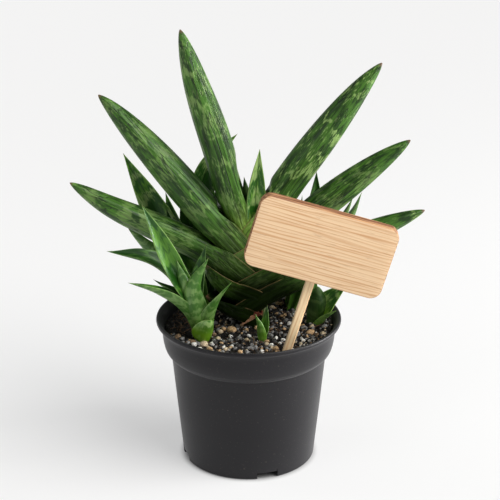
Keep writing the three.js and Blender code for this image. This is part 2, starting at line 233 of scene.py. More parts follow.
def ramp(tree, value, low, high, to_low=0.0, to_high=1.0):
    """A smooth step from to_low at low to to_high at high."""
    inputs = {"Value": value, "From Min": low, "From Max": high, "To Min": to_low, "To Max": to_high}
    return add(tree, "ShaderNodeMapRange", inputs, interpolation_type="SMOOTHSTEP").outputs[0]


def blend_colours(tree, share, a, b):
    """Colour a where share is 0 and colour b where it is 1."""
    return add(tree, "ShaderNodeMix", {0: share, 6: a, 7: b}, data_type="RGBA").outputs[2]


def noise(tree, vector, scale=1.0, detail=2.0, roughness=0.5):
    """A cloudy value around 0.5, with about scale clouds to a unit of the vector; detail adds finer ones."""
    inputs = {"Vector": vector, "Scale": scale, "Detail": detail, "Roughness": roughness}
    return add(tree, "ShaderNodeTexNoise", inputs).outputs[0]


def attribute(tree, name, output="Fac"):
    """Reads the numbers that make_piece has put at the points."""
    return add(tree, "ShaderNodeAttribute", attribute_name=name).outputs[output]


print("node helpers ready")


# %% Start groups and materials
def new_group(name, inputs, outputs):
    """A shader node group with float inputs (name: default), a Vector input, and float outputs."""
    group = bpy.data.node_groups.new(name, "ShaderNodeTree")
    group.interface.new_socket("Vector", in_out="INPUT", socket_type="NodeSocketVector")
    for key, value in inputs.items():
        socket = group.interface.new_socket(key, in_out="INPUT", socket_type="NodeSocketFloat")
        socket.default_value = value
    for key in outputs:
        group.interface.new_socket(key, in_out="OUTPUT", socket_type="NodeSocketFloat")
    return group, group.nodes.new("NodeGroupInput").outputs, group.nodes.new("NodeGroupOutput").inputs


def place_group(tree, group, **inputs):
    """Puts a group into a material, with its own values for the group's inputs."""
    made = add(tree, "ShaderNodeGroup", node_tree=group)
    for key, value in inputs.items():
        socket = made.inputs[key.replace("_", " ")]
        if isinstance(value, bpy.types.NodeSocket):
            tree.links.new(value, socket)
        else:
            socket.default_value = value
    return made.outputs


def new_material(name):
    """An empty material with a Principled shader; returns the material, its tree and the shader's inputs."""
    material = bpy.data.materials.new(name)
    material.use_nodes = True
    tree = material.node_tree
    return material, tree, tree.nodes["Principled BSDF"].inputs


def bump(tree, height, distance, strength=1.0):
    """Fine relief by shading alone; distance is its height in metres where the value goes from 0 to 1."""
    inputs = {"Height": height, "Distance": distance, "Strength": strength}
    return add(tree, "ShaderNodeBump", inputs).outputs[0]


def colour(red, green, blue):
    """An sRGB colour from 0 to 255 as the linear values that the shaders use."""
    share = np.array([red, green, blue]) / 255
    linear = np.where(share <= 0.04045, share / 12.92, ((share + 0.055) / 1.055) ** 2.4)
    return (*(float(value) for value in linear), 1.0)


print("middle grey as a linear value:", round(colour(128, 128, 128)[0], 3))

# %% [markdown]
# ## Three effects for the skins and the wood
#
# An effect that comes back with other numbers is made once, as a node group.
#
# **Streaks** run along a piece: the fibres of a leaf, the grain of wood. They are noise that is squeezed
# across the piece and stretched along it. **Grooves** are the thin dark lines on the leaves: the places
# where such a stretched noise passes its middle value, which gives long lines that wander and join as
# real ones do. **Cross bands** are the pale bars of a snake plant: noise stretched the other way, across
# the leaf, and then broken up by streaks, because the pale cells lie in rows between the fibres.
#
# All three read flat coordinates, x and y across the piece and z along it, as if it had been rolled out.

# %% Build the node groups
def squeezed(group, given):
    """The group's Vector times Across, Across and Along."""
    squeeze = add(group, "ShaderNodeCombineXYZ", {0: given["Across"], 1: given["Across"], 2: given["Along"]})
    return scaled(group, given["Vector"], squeeze.outputs[0])


def streaks_group():
    """Noise that is long one way and narrow the other."""
    group, given, result = new_group("streaks", {"Across": 900.0, "Along": 25.0}, ["Value"])
    value = noise(group, squeezed(group, given), detail=2.5, roughness=0.55)
    group.links.new(value, result["Value"])
    return group


def grooves_group():
    """A line where the stretched noise is within Width of its middle value, 0.5."""
    group, given, result = new_group("grooves", {"Across": 220.0, "Along": 5.0, "Width": 0.02}, ["Line"])
    value = noise(group, squeezed(group, given), detail=0.0)
    off_middle = math(group, "ABSOLUTE", math(group, "SUBTRACT", value, 0.5))
    group.links.new(ramp(group, off_middle, 0.0, given["Width"], 1.0, 0.0), result["Line"])
    return group


def bands_group():
    """Bars across a leaf: noise over (x, y, z / Spacing), shifted between the ribs and broken into cells."""
    defaults = {"Spacing": 0.011, "Breakup": 0.5, "Cover": 0.5}
    group, given, result = new_group("cross bands", defaults, ["Mask"])
    ribs = noise(group, scaled(group, given["Vector"], (330.0, 330.0, 4.0)), detail=0.0)
    sway = noise(group, given["Vector"], scale=90.0, detail=1.0)
    parts = add(group, "ShaderNodeSeparateXYZ", {0: given["Vector"]}).outputs
    rows = math(group, "MULTIPLY_ADD", sway, 1.5, math(group, "DIVIDE", parts[2], given["Spacing"]))
    rows = math(group, "MULTIPLY_ADD", ribs, 1.6, rows)
    side, lift = (math(group, "MULTIPLY", parts[k], 45.0) for k in (0, 1))
    laid = add(group, "ShaderNodeCombineXYZ", {0: side, 1: lift, 2: rows}).outputs[0]
    bars = noise(group, laid, detail=1.0)
    cells = noise(group, scaled(group, given["Vector"], (1000.0, 1000.0, 240.0)), detail=2.5, roughness=0.6)
    broken = math(group, "MULTIPLY_ADD", math(group, "SUBTRACT", cells, 0.5), given["Breakup"], bars)
    threshold = math(group, "MULTIPLY_ADD", given["Cover"], -0.2, 0.62)
    group.links.new(ramp(group, math(group, "SUBTRACT", broken, threshold), -0.07, 0.1), result["Mask"])
    return group


STREAKS, GROOVES, CROSS_BANDS = streaks_group(), grooves_group(), bands_group()
print("groups:", [group.name for group in bpy.data.node_groups])

# %% [markdown]
# ## The skin of the big leaves
#
# A grown leaf is dark green with pale, broken cross bands, a few fine dark grooves and a waxy face. Its
# foot, which grew between the older sheaths, is a fresh yellow green. Low down in the fan hardly any
# light comes in, so there the shade is painted: the green is blended to nearly black and the gloss is
# turned down. The inside of an open sheath that lies in shadow gets a painted light, a pale green. The
# margin is a thin tan line that is worn away in patches, and the tip is a hard brown point.
# One sheath is dead: papery, pale brown at its lower end and dark red at the other.
#
# We lay these colours over each other in that order. A painted picture would fit one leaf only, so the
# masks come from numbers that every leaf carries: its distances to the foot, the tip and the margin, in
# metres, and shares from 0 to 1 for how banded, fresh and dry it is at a point, how much painted shade it
# gets, and how much painted light on an open inside.

# %% Make the skin of the big leaves
def fan_skin():
    """Bands, grooves, foot, painted shade, painted light inside, margin, tip and dry husk,
    each blended over what is there.
    """
    material, tree, shader = new_material("fan_leaf_skin")
    flat = attribute(tree, "flat", "Vector")
    tip, margin, banding = (attribute(tree, name) for name in ("tip", "margin", "banding"))
    dark, middle = colour(27, 58, 10), colour(70, 114, 34)
    pale, groove_tone = colour(146, 176, 104), colour(12, 30, 6)
    fibres = place_group(tree, STREAKS, Vector=flat, Across=900.0, Along=16.0)["Value"]
    clouds = noise(tree, scaled(tree, flat, (260.0, 260.0, 70.0)), detail=3.0)
    shade = math(tree, "MULTIPLY_ADD", fibres, 0.55, math(tree, "MULTIPLY", clouds, 0.6))
    skin = blend_colours(tree, ramp(tree, shade, 0.44, 0.7), dark, middle)
    bands = place_group(tree, CROSS_BANDS, Vector=flat, Spacing=0.0085, Breakup=0.8, Cover=0.3)["Mask"]
    skin = blend_colours(tree, math(tree, "MULTIPLY", bands, banding), skin, pale)
    lines = place_group(tree, GROOVES, Vector=flat, Across=420.0, Along=4.0, Width=0.035)["Line"]
    skin = blend_colours(tree, math(tree, "MULTIPLY", lines, 0.7), skin, groove_tone)
    fresh = math(tree, "MULTIPLY", attribute(tree, "fresh"), ramp(tree, fibres, 0.25, 0.6, 0.45, 0.95))
    skin = blend_colours(tree, fresh, skin, colour(128, 160, 54))
    # Painted shade: low in the fan and near the foot the green is blended to nearly black.
    deep = attribute(tree, "deep")
    skin = blend_colours(tree, math(tree, "MULTIPLY", deep, 0.9), skin, colour(6, 17, 1))
    # Painted light: the open inside of a shaded trough is blended to a pale green.
    skin = blend_colours(tree, attribute(tree, "hollow"), skin, colour(116, 152, 72))
    edge = ramp(tree, math(tree, "MULTIPLY_ADD", clouds, 0.0009, margin), 0.0006, 0.0012, 1.0, 0.0)
    edge = math(tree, "MULTIPLY", edge, ramp(tree, clouds, 0.36, 0.6, 0.25, 0.75))
    skin = blend_colours(tree, edge, skin, colour(150, 124, 88))
    point = ramp(tree, math(tree, "MULTIPLY_ADD", clouds, 0.002, tip), 0.0015, 0.004, 0.9, 0.0)
    skin = blend_colours(tree, point, skin, colour(112, 84, 62))
    husk = blend_colours(tree, fibres, colour(156, 96, 70), colour(226, 186, 154))
    far_end = ramp(tree, attribute(tree, "foot"), 0.0075, 0.012, 0.0, 0.85)
    husk = blend_colours(tree, far_end, husk, colour(98, 36, 26))
    skin = blend_colours(tree, attribute(tree, "dry"), skin, husk)
    tree.links.new(skin, shader["Base Color"])
    tree.links.new(ramp(tree, clouds, 0.3, 0.7, 0.4, 0.52), shader["Roughness"])
    ribs = noise(tree, scaled(tree, flat, (420.0, 420.0, 4.0)), detail=0.0)
    relief = math(tree, "MULTIPLY_ADD", fibres, 0.1, math(tree, "MULTIPLY_ADD", lines, -0.2, ribs))
    tree.links.new(bump(tree, relief, 0.0012, 0.9), shader["Normal"])
    # The painted shade also turns the gloss down there.
    tree.links.new(math(tree, "MULTIPLY_ADD", deep, -0.36, 0.45), shader["Specular IOR Level"])
    return material


FAN_SKIN = fan_skin()
print("material:", FAN_SKIN.name)

# %% [markdown]
# ## The skin of the young leaves
#
# The shoots' leaves are thinner and brighter. Their hollow side has dark patches in rows, their back is a
# greyer green with narrow pale bars close together, the foot is yellow green, and a pale line runs all
# along the edge. A little light passes through them, which the subsurface values give.
#
# How fresh a leaf is differs from leaf to leaf. One material for each would hide what they share, so each
# carries a tint instead. At 0 it is dark, without a pale edge or foot, and at 1 it is fresh. More than 1
# makes bars, edge and foot stand out further. The tint is partly the leaf's own freshness and partly
# painted light and shade: a low tint darkens leaves that lie in deep shade, and a tint above 1 paints
# light onto leaves that the fan or the board shades. A few leaves also show broad pale bars, which on
# some shaded leaves are raised as painted light, and a dark crease on their hollow side, which is
# painted shade along the fold, as strong as their banding says.

# %% Make the skin of the young leaves
def young_skin():
    """Two sides, hollow and back, blended by the hollow share, and then foot, edge and tip over both."""
    material, tree, shader = new_material("young_leaf_skin")
    flat = attribute(tree, "flat", "Vector")
    foot, tip, margin = (attribute(tree, name) for name in ("foot", "tip", "margin"))
    tint, hollow = attribute(tree, "tint"), attribute(tree, "hollow")
    banding, middle = attribute(tree, "banding"), attribute(tree, "middle")
    fibres = place_group(tree, STREAKS, Vector=flat, Across=900.0, Along=60.0)["Value"]
    clouds = noise(tree, scaled(tree, flat, (120.0, 120.0, 60.0)), detail=2.0)
    # The tint blends dark and fresh greens: partly freshness, partly painted light and shade.
    dark = blend_colours(tree, tint, colour(22, 52, 16), colour(42, 94, 24))
    fresh = blend_colours(tree, tint, colour(62, 104, 44), colour(98, 148, 46))
    patches = place_group(tree, CROSS_BANDS, Vector=flat, Spacing=0.008, Breakup=0.4, Cover=0.35)["Mask"]
    inside = blend_colours(tree, math(tree, "SUBTRACT", 1.0, patches), fresh, dark)
    broad = place_group(tree, CROSS_BANDS, Vector=flat, Spacing=0.0075, Breakup=0.5, Cover=0.45)["Mask"]
    inside = blend_colours(tree, math(tree, "MULTIPLY", broad, banding), inside, colour(162, 188, 120))
    # Painted shade: a dark line along the fold of the hollow side, as strong as banding.
    crease = math(tree, "MULTIPLY", ramp(tree, middle, 0.0002, 0.0008, 0.7, 0.0), banding)
    inside = blend_colours(tree, crease, inside, colour(20, 50, 12))
    grey = blend_colours(tree, tint, colour(36, 66, 22), colour(80, 126, 50))
    bars = place_group(tree, CROSS_BANDS, Vector=flat, Spacing=0.0036, Breakup=0.35, Cover=0.65)["Mask"]
    bars = math(tree, "MULTIPLY", bars, math(tree, "MULTIPLY_ADD", tint, 0.4, 0.15))
    outside = blend_colours(tree, bars, grey, colour(150, 180, 112))
    skin = blend_colours(tree, hollow, outside, inside)
    skin = blend_colours(tree, ramp(tree, fibres, 0.35, 0.7, 0.0, 0.35), skin, dark)
    # A low tint also dims the yellow foot, as painted shade on shaded leaves.
    base = math(tree, "MULTIPLY", ramp(tree, foot, 0.004, 0.022, 0.65, 0.0), tint)
    skin = blend_colours(tree, base, skin, colour(110, 156, 24))
    edge = math(tree, "MULTIPLY", ramp(tree, margin, 0.0001, 0.0005, 0.4, 0.0), tint)
    skin = blend_colours(tree, edge, skin, colour(160, 188, 110))
    point = ramp(tree, math(tree, "MULTIPLY_ADD", clouds, 0.001, tip), 0.0008, 0.0024, 0.9, 0.0)
    skin = blend_colours(tree, point, skin, colour(120, 100, 70))
    tree.links.new(skin, shader["Base Color"])
    tree.links.new(ramp(tree, clouds, 0.3, 0.7, 0.32, 0.46), shader["Roughness"])
    tree.links.new(bump(tree, fibres, 0.00015, 0.6), shader["Normal"])
    shader["Subsurface Weight"].default_value = 0.08
    shader["Subsurface Radius"].default_value = (0.002, 0.004, 0.001)
    shader["Subsurface Scale"].default_value = 1.0
    return material


YOUNG_SKIN = young_skin()
print("material:", YOUNG_SKIN.name)

# %% [markdown]
# ## The fan's round leaves
#
# The fan's leaves stand in two rows, left and right. Each is a round blade whose foot is a sheath: a deep
# trough that clasps the stem and all the younger leaves. Seen from the front, the free edges of the left
# and the right troughs cross each other in a zigzag. That zigzag is what a viewer recognises, so it is
# modelled rather than painted: every leaf runs straight down across the stem and ends inside the next
# older trough.
#
# For a leaf we give the path of its middle from the foot to the tip, and the width and thickness of its
# blade. For its trough, half is half the width at the foot and where it is widest, reach is how far it
# goes below and above its middle, shuts says how far up the leaf it starts to close and is closed, facing
# is the side that it opens to, and turn changes that side on the way up. cone is the length of the tip in
# widths.
#
# Four numbers are for the skin: banding is the strength of the pale bands, fresh that of the yellow foot,
# inside that of the painted light on the inner face, and lit says how far the leaf comes out of the
# painted deep shade. The oldest leaves come last and have the widest troughs. The last one, dry, is only
# a papery rest of a sheath.

# %% Describe the fan
UP_LEFT, UP_RIGHT = (-1, 0, 1), (1, 0, 1)

ROUND = dict(fresh=0.2, inside=0.0, lit=0.0, cone=4, turn=(0, 0, 0))

ROUND_LEAVES = [
    dict(name="tall", facing=UP_RIGHT, width=20, thick=20, half=(7.4, 8.8), reach=(7, 8.5), shuts=(30, 84),
         banding=0.5, fresh=1.0,
         path=[[5, 13, 124], [0, 13, 141], [-2.4, 13, 149.6], [-6.2, 13, 159.4], [-9.6, 12, 171],
               [-20, 11, 209], [-33, 9, 251], [-42, 7, 284.5]]),
    dict(name="right_high", facing=UP_LEFT, width=21, thick=21, half=(8.2, 9.3), reach=(7.4, 9),
         shuts=(40, 66), banding=0.8, fresh=0.7,
         path=[[3, 13, 122], [0, 13, 136], [2.5, 13, 147.5], [9.5, 13, 157.5], [24.4, 13, 182],
               [45, 14, 211], [70, 15, 245], [83, 16, 261]]),
    dict(name="left_high", facing=UP_RIGHT, width=22, thick=22, half=(9.3, 10.2), reach=(8.5, 12),
         shuts=(36, 56), banding=0.35,
         path=[[6, 13, 122], [0.9, 13, 128.4], [-7.8, 13, 139], [-22.4, 12, 157], [-58, 12, 201],
               [-85, 13, 232], [-94, 14, 241]]),
    dict(name="right_middle", facing=UP_LEFT, width=18, thick=19, half=(10.6, 10.8), reach=(8, 13),
         shuts=(34, 54), banding=0.35,
         path=[[-6, 13, 125.3], [3.4, 13, 131], [23.4, 13, 146.2], [43, 12, 165], [76, 12, 192],
               [102, 12, 212]]),
    dict(name="left_low", facing=UP_RIGHT, width=18, thick=18, half=(10.9, 11.2), reach=(8.7, 12.9),
         shuts=(30, 50), banding=0.35,
         path=[[5, 13, 108], [0.9, 13, 112], [-13.9, 12.5, 125.3], [-25.4, 12, 135.5], [-38.6, 12, 143.5],
               [-61, 11, 155], [-89, 10, 169], [-113.4, 9, 184.6]]),
    dict(name="right_low", facing=UP_LEFT, width=17, thick=17, half=(11.8, 11.9), reach=(9, 12.9),
         shuts=(32, 52), banding=0.6,
         path=[[-8, 13, 104.2], [10.3, 13, 114.6], [25, 13, 122.9], [39.6, 14, 131.2], [53, 15, 138],
               [84, 17, 151], [113.4, 18, 162.8]]),
    # base_left_upper's inside and lit paint light onto a trough that lies in shadow.
    dict(name="base_left_upper", facing=(1, -0.2, 1), turn=(-0.2, -0.5, 0.1), width=17, thick=9, cone=1.8,
         half=(13.0, 12.2), reach=(9, 11.5), shuts=(34, 130), banding=0.2, inside=0.8, lit=0.8,
         path=[[4.5, 12, 105.5], [-1, 12, 108.5], [-11.9, 10.5, 115.5], [-20, 7, 123], [-28.5, 2, 132.5]]),
    dict(name="base_right", facing=UP_LEFT, width=20, thick=24, cone=2, half=(13.4, 13.0), reach=(8.5, 7.5),
         shuts=(34, 80), banding=0.2,
         path=[[-6, 12, 97], [-1, 12, 100.5], [17, 11, 113], [32, 9, 121], [51.5, 6, 130]]),
    dict(name="base_left_lower", facing=UP_RIGHT, width=14, thick=11, cone=1.8, half=(14.4, 13.8),
         reach=(4, 9.5), shuts=(20, 60), banding=0.1,
         path=[[8, 12, 86.5], [0, 12, 92], [-8, 10, 98], [-19, 4, 104.5], [-27.5, -1, 110.5]]),
    dict(name="dry", facing=UP_LEFT, width=20, thick=20, half=(14.6, 14.4), reach=(3.6, 2.6), shuts=(60, 90),
         banding=0.0, path=[[-4.5, 12, 91], [-1, 12, 93], [3, 12, 95.8], [7.5, 12, 99]]),
]
print("round leaves:", [leaf["name"] for leaf in ROUND_LEAVES])

# %% [markdown]
# A leaf's section is a closed line through two halves, the outside and the inside, both counted by v,
# which runs from -1 at one edge to 1 at the other. The trough is a half round with two arms; the closed
# blade is an ellipse whose top part belongs to the inside. Mixing the two by one number, shut, gives
# every stage between.

# %% Draw the section of a trough that closes
SHUT_EDGE = 0.78 * np.pi
ARM_LEAN = 0.03
SHEATH_WALL = 2.0
EDGE_WALL = 0.35


def trough_section(around, wide, low, high, thick, shut):
    """Section points (across, up) per ring, the outside from edge to edge and then the inside back.

    Trough, outside: wide * sin a, -low * cos a with a = pi v up to v = 1/2, and then two arms that rise to
    high and lean inwards by ARM_LEAN * t^2. Closed, outside: the ellipse at the angle v * SHUT_EDGE. Closed,
    inside: the rest of the ellipse.
    """
    n = around // 2
    v = np.cos(np.pi * np.arange(n + 1) / n)[None]
    v = np.sign(v) * np.abs(v) ** 0.8
    wide, low, high, thick, shut = (value[:, None] for value in (wide, low, high, thick, shut))
    a = np.pi * np.clip(v, -0.5, 0.5)
    t = np.clip(2 * np.abs(v) - 1, 0, 1)
    wall = mix(SHEATH_WALL * (1 - np.minimum(0.5, np.abs(v))), EDGE_WALL, t) * np.minimum(1, wide / 6)
    lean = 1 - ARM_LEAN * t**2

    def outside_or_inside(wall, angle):
        across = mix((wide - wall) * np.sin(a) * lean, wide * np.sin(angle), shut)
        up = mix(high * t - np.maximum(low - wall, 0) * np.cos(a), -thick * np.cos(angle), shut)
        return across, up

    outer = outside_or_inside(0 * wall, v * SHUT_EDGE)
    inner = outside_or_inside(wall, np.pi - v * (np.pi - SHUT_EDGE))
    across, up = (np.hstack([out, into[:, n - 1 : 0 : -1]]) for out, into in zip(outer, inner))
    steps = np.hypot(np.diff(outer[0], axis=1), np.diff(outer[1], axis=1))
    reach = np.hstack([np.zeros((len(steps), 1)), np.cumsum(steps, 1)])
    to_edge = np.minimum(reach, reach[:, -1:] - reach)
    to_edge = np.hstack([to_edge, to_edge[:, n - 1 : 0 : -1]])
    is_inside = np.r_[np.zeros(n + 1), np.ones(n - 1)]
    return across, up, to_edge, is_inside


ones = np.ones(1)
print("section points:", trough_section(12, ones, ones, ones, ones, ones)[0].shape[1])

# %% [markdown]
# A section is flat. To put it in its place along the leaf we need a direction inwards at each ring: the
# side that the trough opens to, made square to the path. The flat coordinates stay with the points, so
# that bands and fibres follow the leaf.

# %% Carry a section along a path
RING_SPACING = 1.25


def shares_to_tip(rings):
    """Shares of the length, closer together towards the tip."""
    return 1 - (1 - np.arange(rings) / (rings - 1)) ** RING_SPACING


def carry(place, along, facing, across, up):
    """Puts the flat section points (across, up) of each ring in their place along the path."""
    inner = facing - along * np.sum(facing * along, 1, keepdims=True)
    inner /= np.linalg.norm(inner, axis=1, keepdims=True)
    sideways = np.cross(along, inner)
    return place[:, None] + across[..., None] * sideways[:, None] + up[..., None] * inner[:, None]


def leaf_values(across, up, s, to_edge, offset, **constants):
    """The numbers that the skins read at each point; offset moves the pattern from leaf to leaf."""
    around = across.shape[1]
    length_ways = np.repeat(s[:, None], around, 1)
    flat = np.stack([across + offset * 37.0, up + offset * 11.0, length_ways], -1)
    values = {
        "flat": flat.reshape(-1, 3) * MM,
        "foot": length_ways.ravel() * MM,
        "tip": (s[-1] - length_ways).ravel() * MM,
        "margin": to_edge.ravel() * MM,
    }
    for key, value in constants.items():
        values[key] = np.broadcast_to(value, across.shape).astype(float).ravel()
    return values


print("shares of a path with 4 rings:", shares_to_tip(4).round(2))

# %% [markdown]
# The sizes are functions of the length s from the foot. Width and thickness near the tip follow (1 - (1 -
# r)^2)^0.68, where r is the distance to the tip in units of cone widths: a long even body with a cone
# that closes faster and faster. A few shallow flutes run along the closed blade, as they do on the plant.
# The dry rest has no tip. It starts narrow, and its torn upper edge goes up and down.
#
# Where the trough is closed there is no margin any more, so the distance to it is made large there.

# %% Build the fan's round leaves
TIP_CURVE = 0.68
FLUTES = 7
FLUTE_DEPTH = 0.018
NO_MARGIN = 14
SHADE_HEIGHTS = (112, 148)
SHADE_LENGTHS = (36, 76)
FRESH_LENGTHS = (22, 56)


def round_leaf(leaf, offset, rings=170, around=64):
    """The trough's section, with sizes that are functions of s, carried along the leaf's path.

    Each size goes by a smooth step from the trough's value to the blade's, times the taper of the tip, and
    the section swells by 1 - FLUTE_DEPTH * cos(FLUTES * angle) where it is closed.
    """
    leaf = {**ROUND, **leaf}
    shares = shares_to_tip(rings)
    place, along, length = smooth_path(leaf["path"], shares)
    s = shares * length
    opens, closes = leaf["shuts"]
    dry = leaf["name"] == "dry"
    rest = np.minimum(1, (length - s) / leaf["width"] / leaf["cone"])
    taper = np.ones(rings) if dry else (1 - (1 - rest) ** 2) ** TIP_CURVE
    shut = smoothstep(s, opens, closes)
    trough = mix(*leaf["half"], smoothstep(s, 0, opens))
    wide = mix(trough, leaf["width"] / 2, smoothstep(s, opens * 0.9, closes))
    low = mix(leaf["reach"][0], leaf["thick"] / 2, smoothstep(s, opens * 0.5, closes))
    high = leaf["reach"][1] * mix(1, 0.75, shut)
    thick = leaf["thick"] / 2 * taper
    if dry:
        spread = smoothstep(s, -3, 9)
        low = low * spread
        high = high * spread * (1 + 0.25 * np.sin(1.7 * s))
    sizes = (wide * taper, low * taper, high * taper, thick, shut)
    across, up, to_edge, is_inside = trough_section(around, *sizes)
    flutes = FLUTE_DEPTH * np.cos(FLUTES * np.arctan2(up, across) + offset)
    swell = 1 - flutes * smoothstep(s, closes, closes + 15)[:, None]
    facing = np.array(leaf["facing"]) + smoothstep(s, 5, 45)[:, None] * np.array(leaf["turn"])
    points = carry(place, along, facing, across * swell, up * swell)

    # Painted shade: low in the fan and near the foot, taken back as far as lit says.
    shade = 1 - smoothstep(points[..., 2], *SHADE_HEIGHTS)
    shade = shade * (1 - smoothstep(s, *SHADE_LENGTHS))[:, None]
    shade = shade * (1 - leaf["lit"] * smoothstep(s, 12, 30))[:, None]
    # Painted light on the open inside, as strong as inside says.
    inside = leaf["inside"] * is_inside * (1 - shut[:, None])
    fresh = leaf["fresh"] * (1 - smoothstep(s, *FRESH_LENGTHS))[:, None]
    values = leaf_values(across, up, s, to_edge + NO_MARGIN * shut[:, None], offset, banding=leaf["banding"],
                         hollow=inside, dry=float(dry), fresh=fresh, deep=shade)
    name = "fan_leaf_" + leaf["name"]
    replaced = [] if dry else [name]
    faces = ring_faces(rings, around)
    return make_piece("skin_" + name, points, faces, FAN_SKIN, replaced, values)


print("flutes on a closed blade:", FLUTES)

# %% Grow the fan
fan_pieces = [round_leaf(leaf, offset) for offset, leaf in enumerate(ROUND_LEAVES)]
print("fan leaves and dry rest:", len(fan_pieces), "faces each:", len(fan_pieces[0].data.polygons))

# %% [markdown]
# ## The young leaves
#
# Two young leaves stand in the middle of the fan, and six shoots of young leaves round it. They are
# channelled: folded along the middle and open at the top, with a foot that clasps the stem. The trough of
# the big leaves is too round for that, so they have a formula of their own.
#
# Across a leaf we walk round a lens: q = cos t runs from one edge to the other, and sin t is the height
# above or below the middle line. That middle line is then bent. Its direction turns from -wrap at one
# edge to +wrap at the other, and where the turning happens gives the form: spread evenly it is an arc
# that clasps the stem, kept near the middle it is a keel like a folded sheet of paper. The margins are
# never quite straight, so a slow wave lifts them, strongest at the very edge.

# %% Bend a lens-shaped section along a path
def leaf_points(place, along, facing, half, depth, wrap, keel, around, edge_wave):
    """Points of a leaf, one ring per place, and its flat coordinates.

    q = cos t, height = depth * sin t. The middle line's direction is
    wrap * q * sqrt(1 + k^2) / sqrt(q^2 + k^2) with k the keel's softness, and the line itself is the running
    sum of (cos, sin) of that direction.
    """
    turn = 2 * np.pi * np.arange(around) / around
    q_line = np.cos(np.pi * np.arange(around // 2 + 1) / (around // 2))
    spread = q_line * np.sqrt(1 + keel**2) / np.sqrt(q_line**2 + keel**2)
    direction = wrap[:, None] * spread
    dq = np.diff(q_line)
    start = np.zeros((len(wrap), 1))
    middle_line = []
    for part in (np.cos(direction), np.sin(direction)):
        sums = np.cumsum((part[:, 1:] + part[:, :-1]) / 2 * dq, 1)
        line = np.concatenate([start, sums], 1)
        centre = around // 4
        middle_line.append(half[:, None] * (line - line[:, centre : centre + 1]))
    same = np.r_[np.arange(around // 2 + 1), np.arange(around // 2 - 1, 0, -1)]
    run, climb, direction = middle_line[0][:, same], middle_line[1][:, same], direction[:, same]
    q = np.cos(turn)[None]
    height = depth[:, None] * np.sin(turn)[None]
    x = run - height * np.sin(direction)
    y = climb + height * np.cos(direction) + edge_wave[:, None] * np.abs(q) ** 3
    return carry(place, along, facing, x, y), q * half[:, None], height


print("leaf formula ready")

# %% [markdown]
# A leaf is given by the path of its middle, its width and the side that its hollow faces. foot holds the
# width and thickness at the foot, and wrap the bend in degrees there and further up, which it reaches at
# the given share of its length. keel says how soft the fold is. The tip narrows as sin(pi / 2 * r) ^
# blunt, where r is the distance to the tip in units of cone widths, so a small cone and a small blunt
# make a short round tip. tint and banding are for the skin. What a leaf doesn't say is as in YOUNG.

# %% Describe the young leaves
YOUNG = dict(facing=[0, 0, 1], thick=2.6, foot=[9, 1.8], wrap=[80, 50], share=0.4, keel=0.7, wave=0.35,
             cone=2.6, blunt=1.1, tint=0.6, banding=0.0)
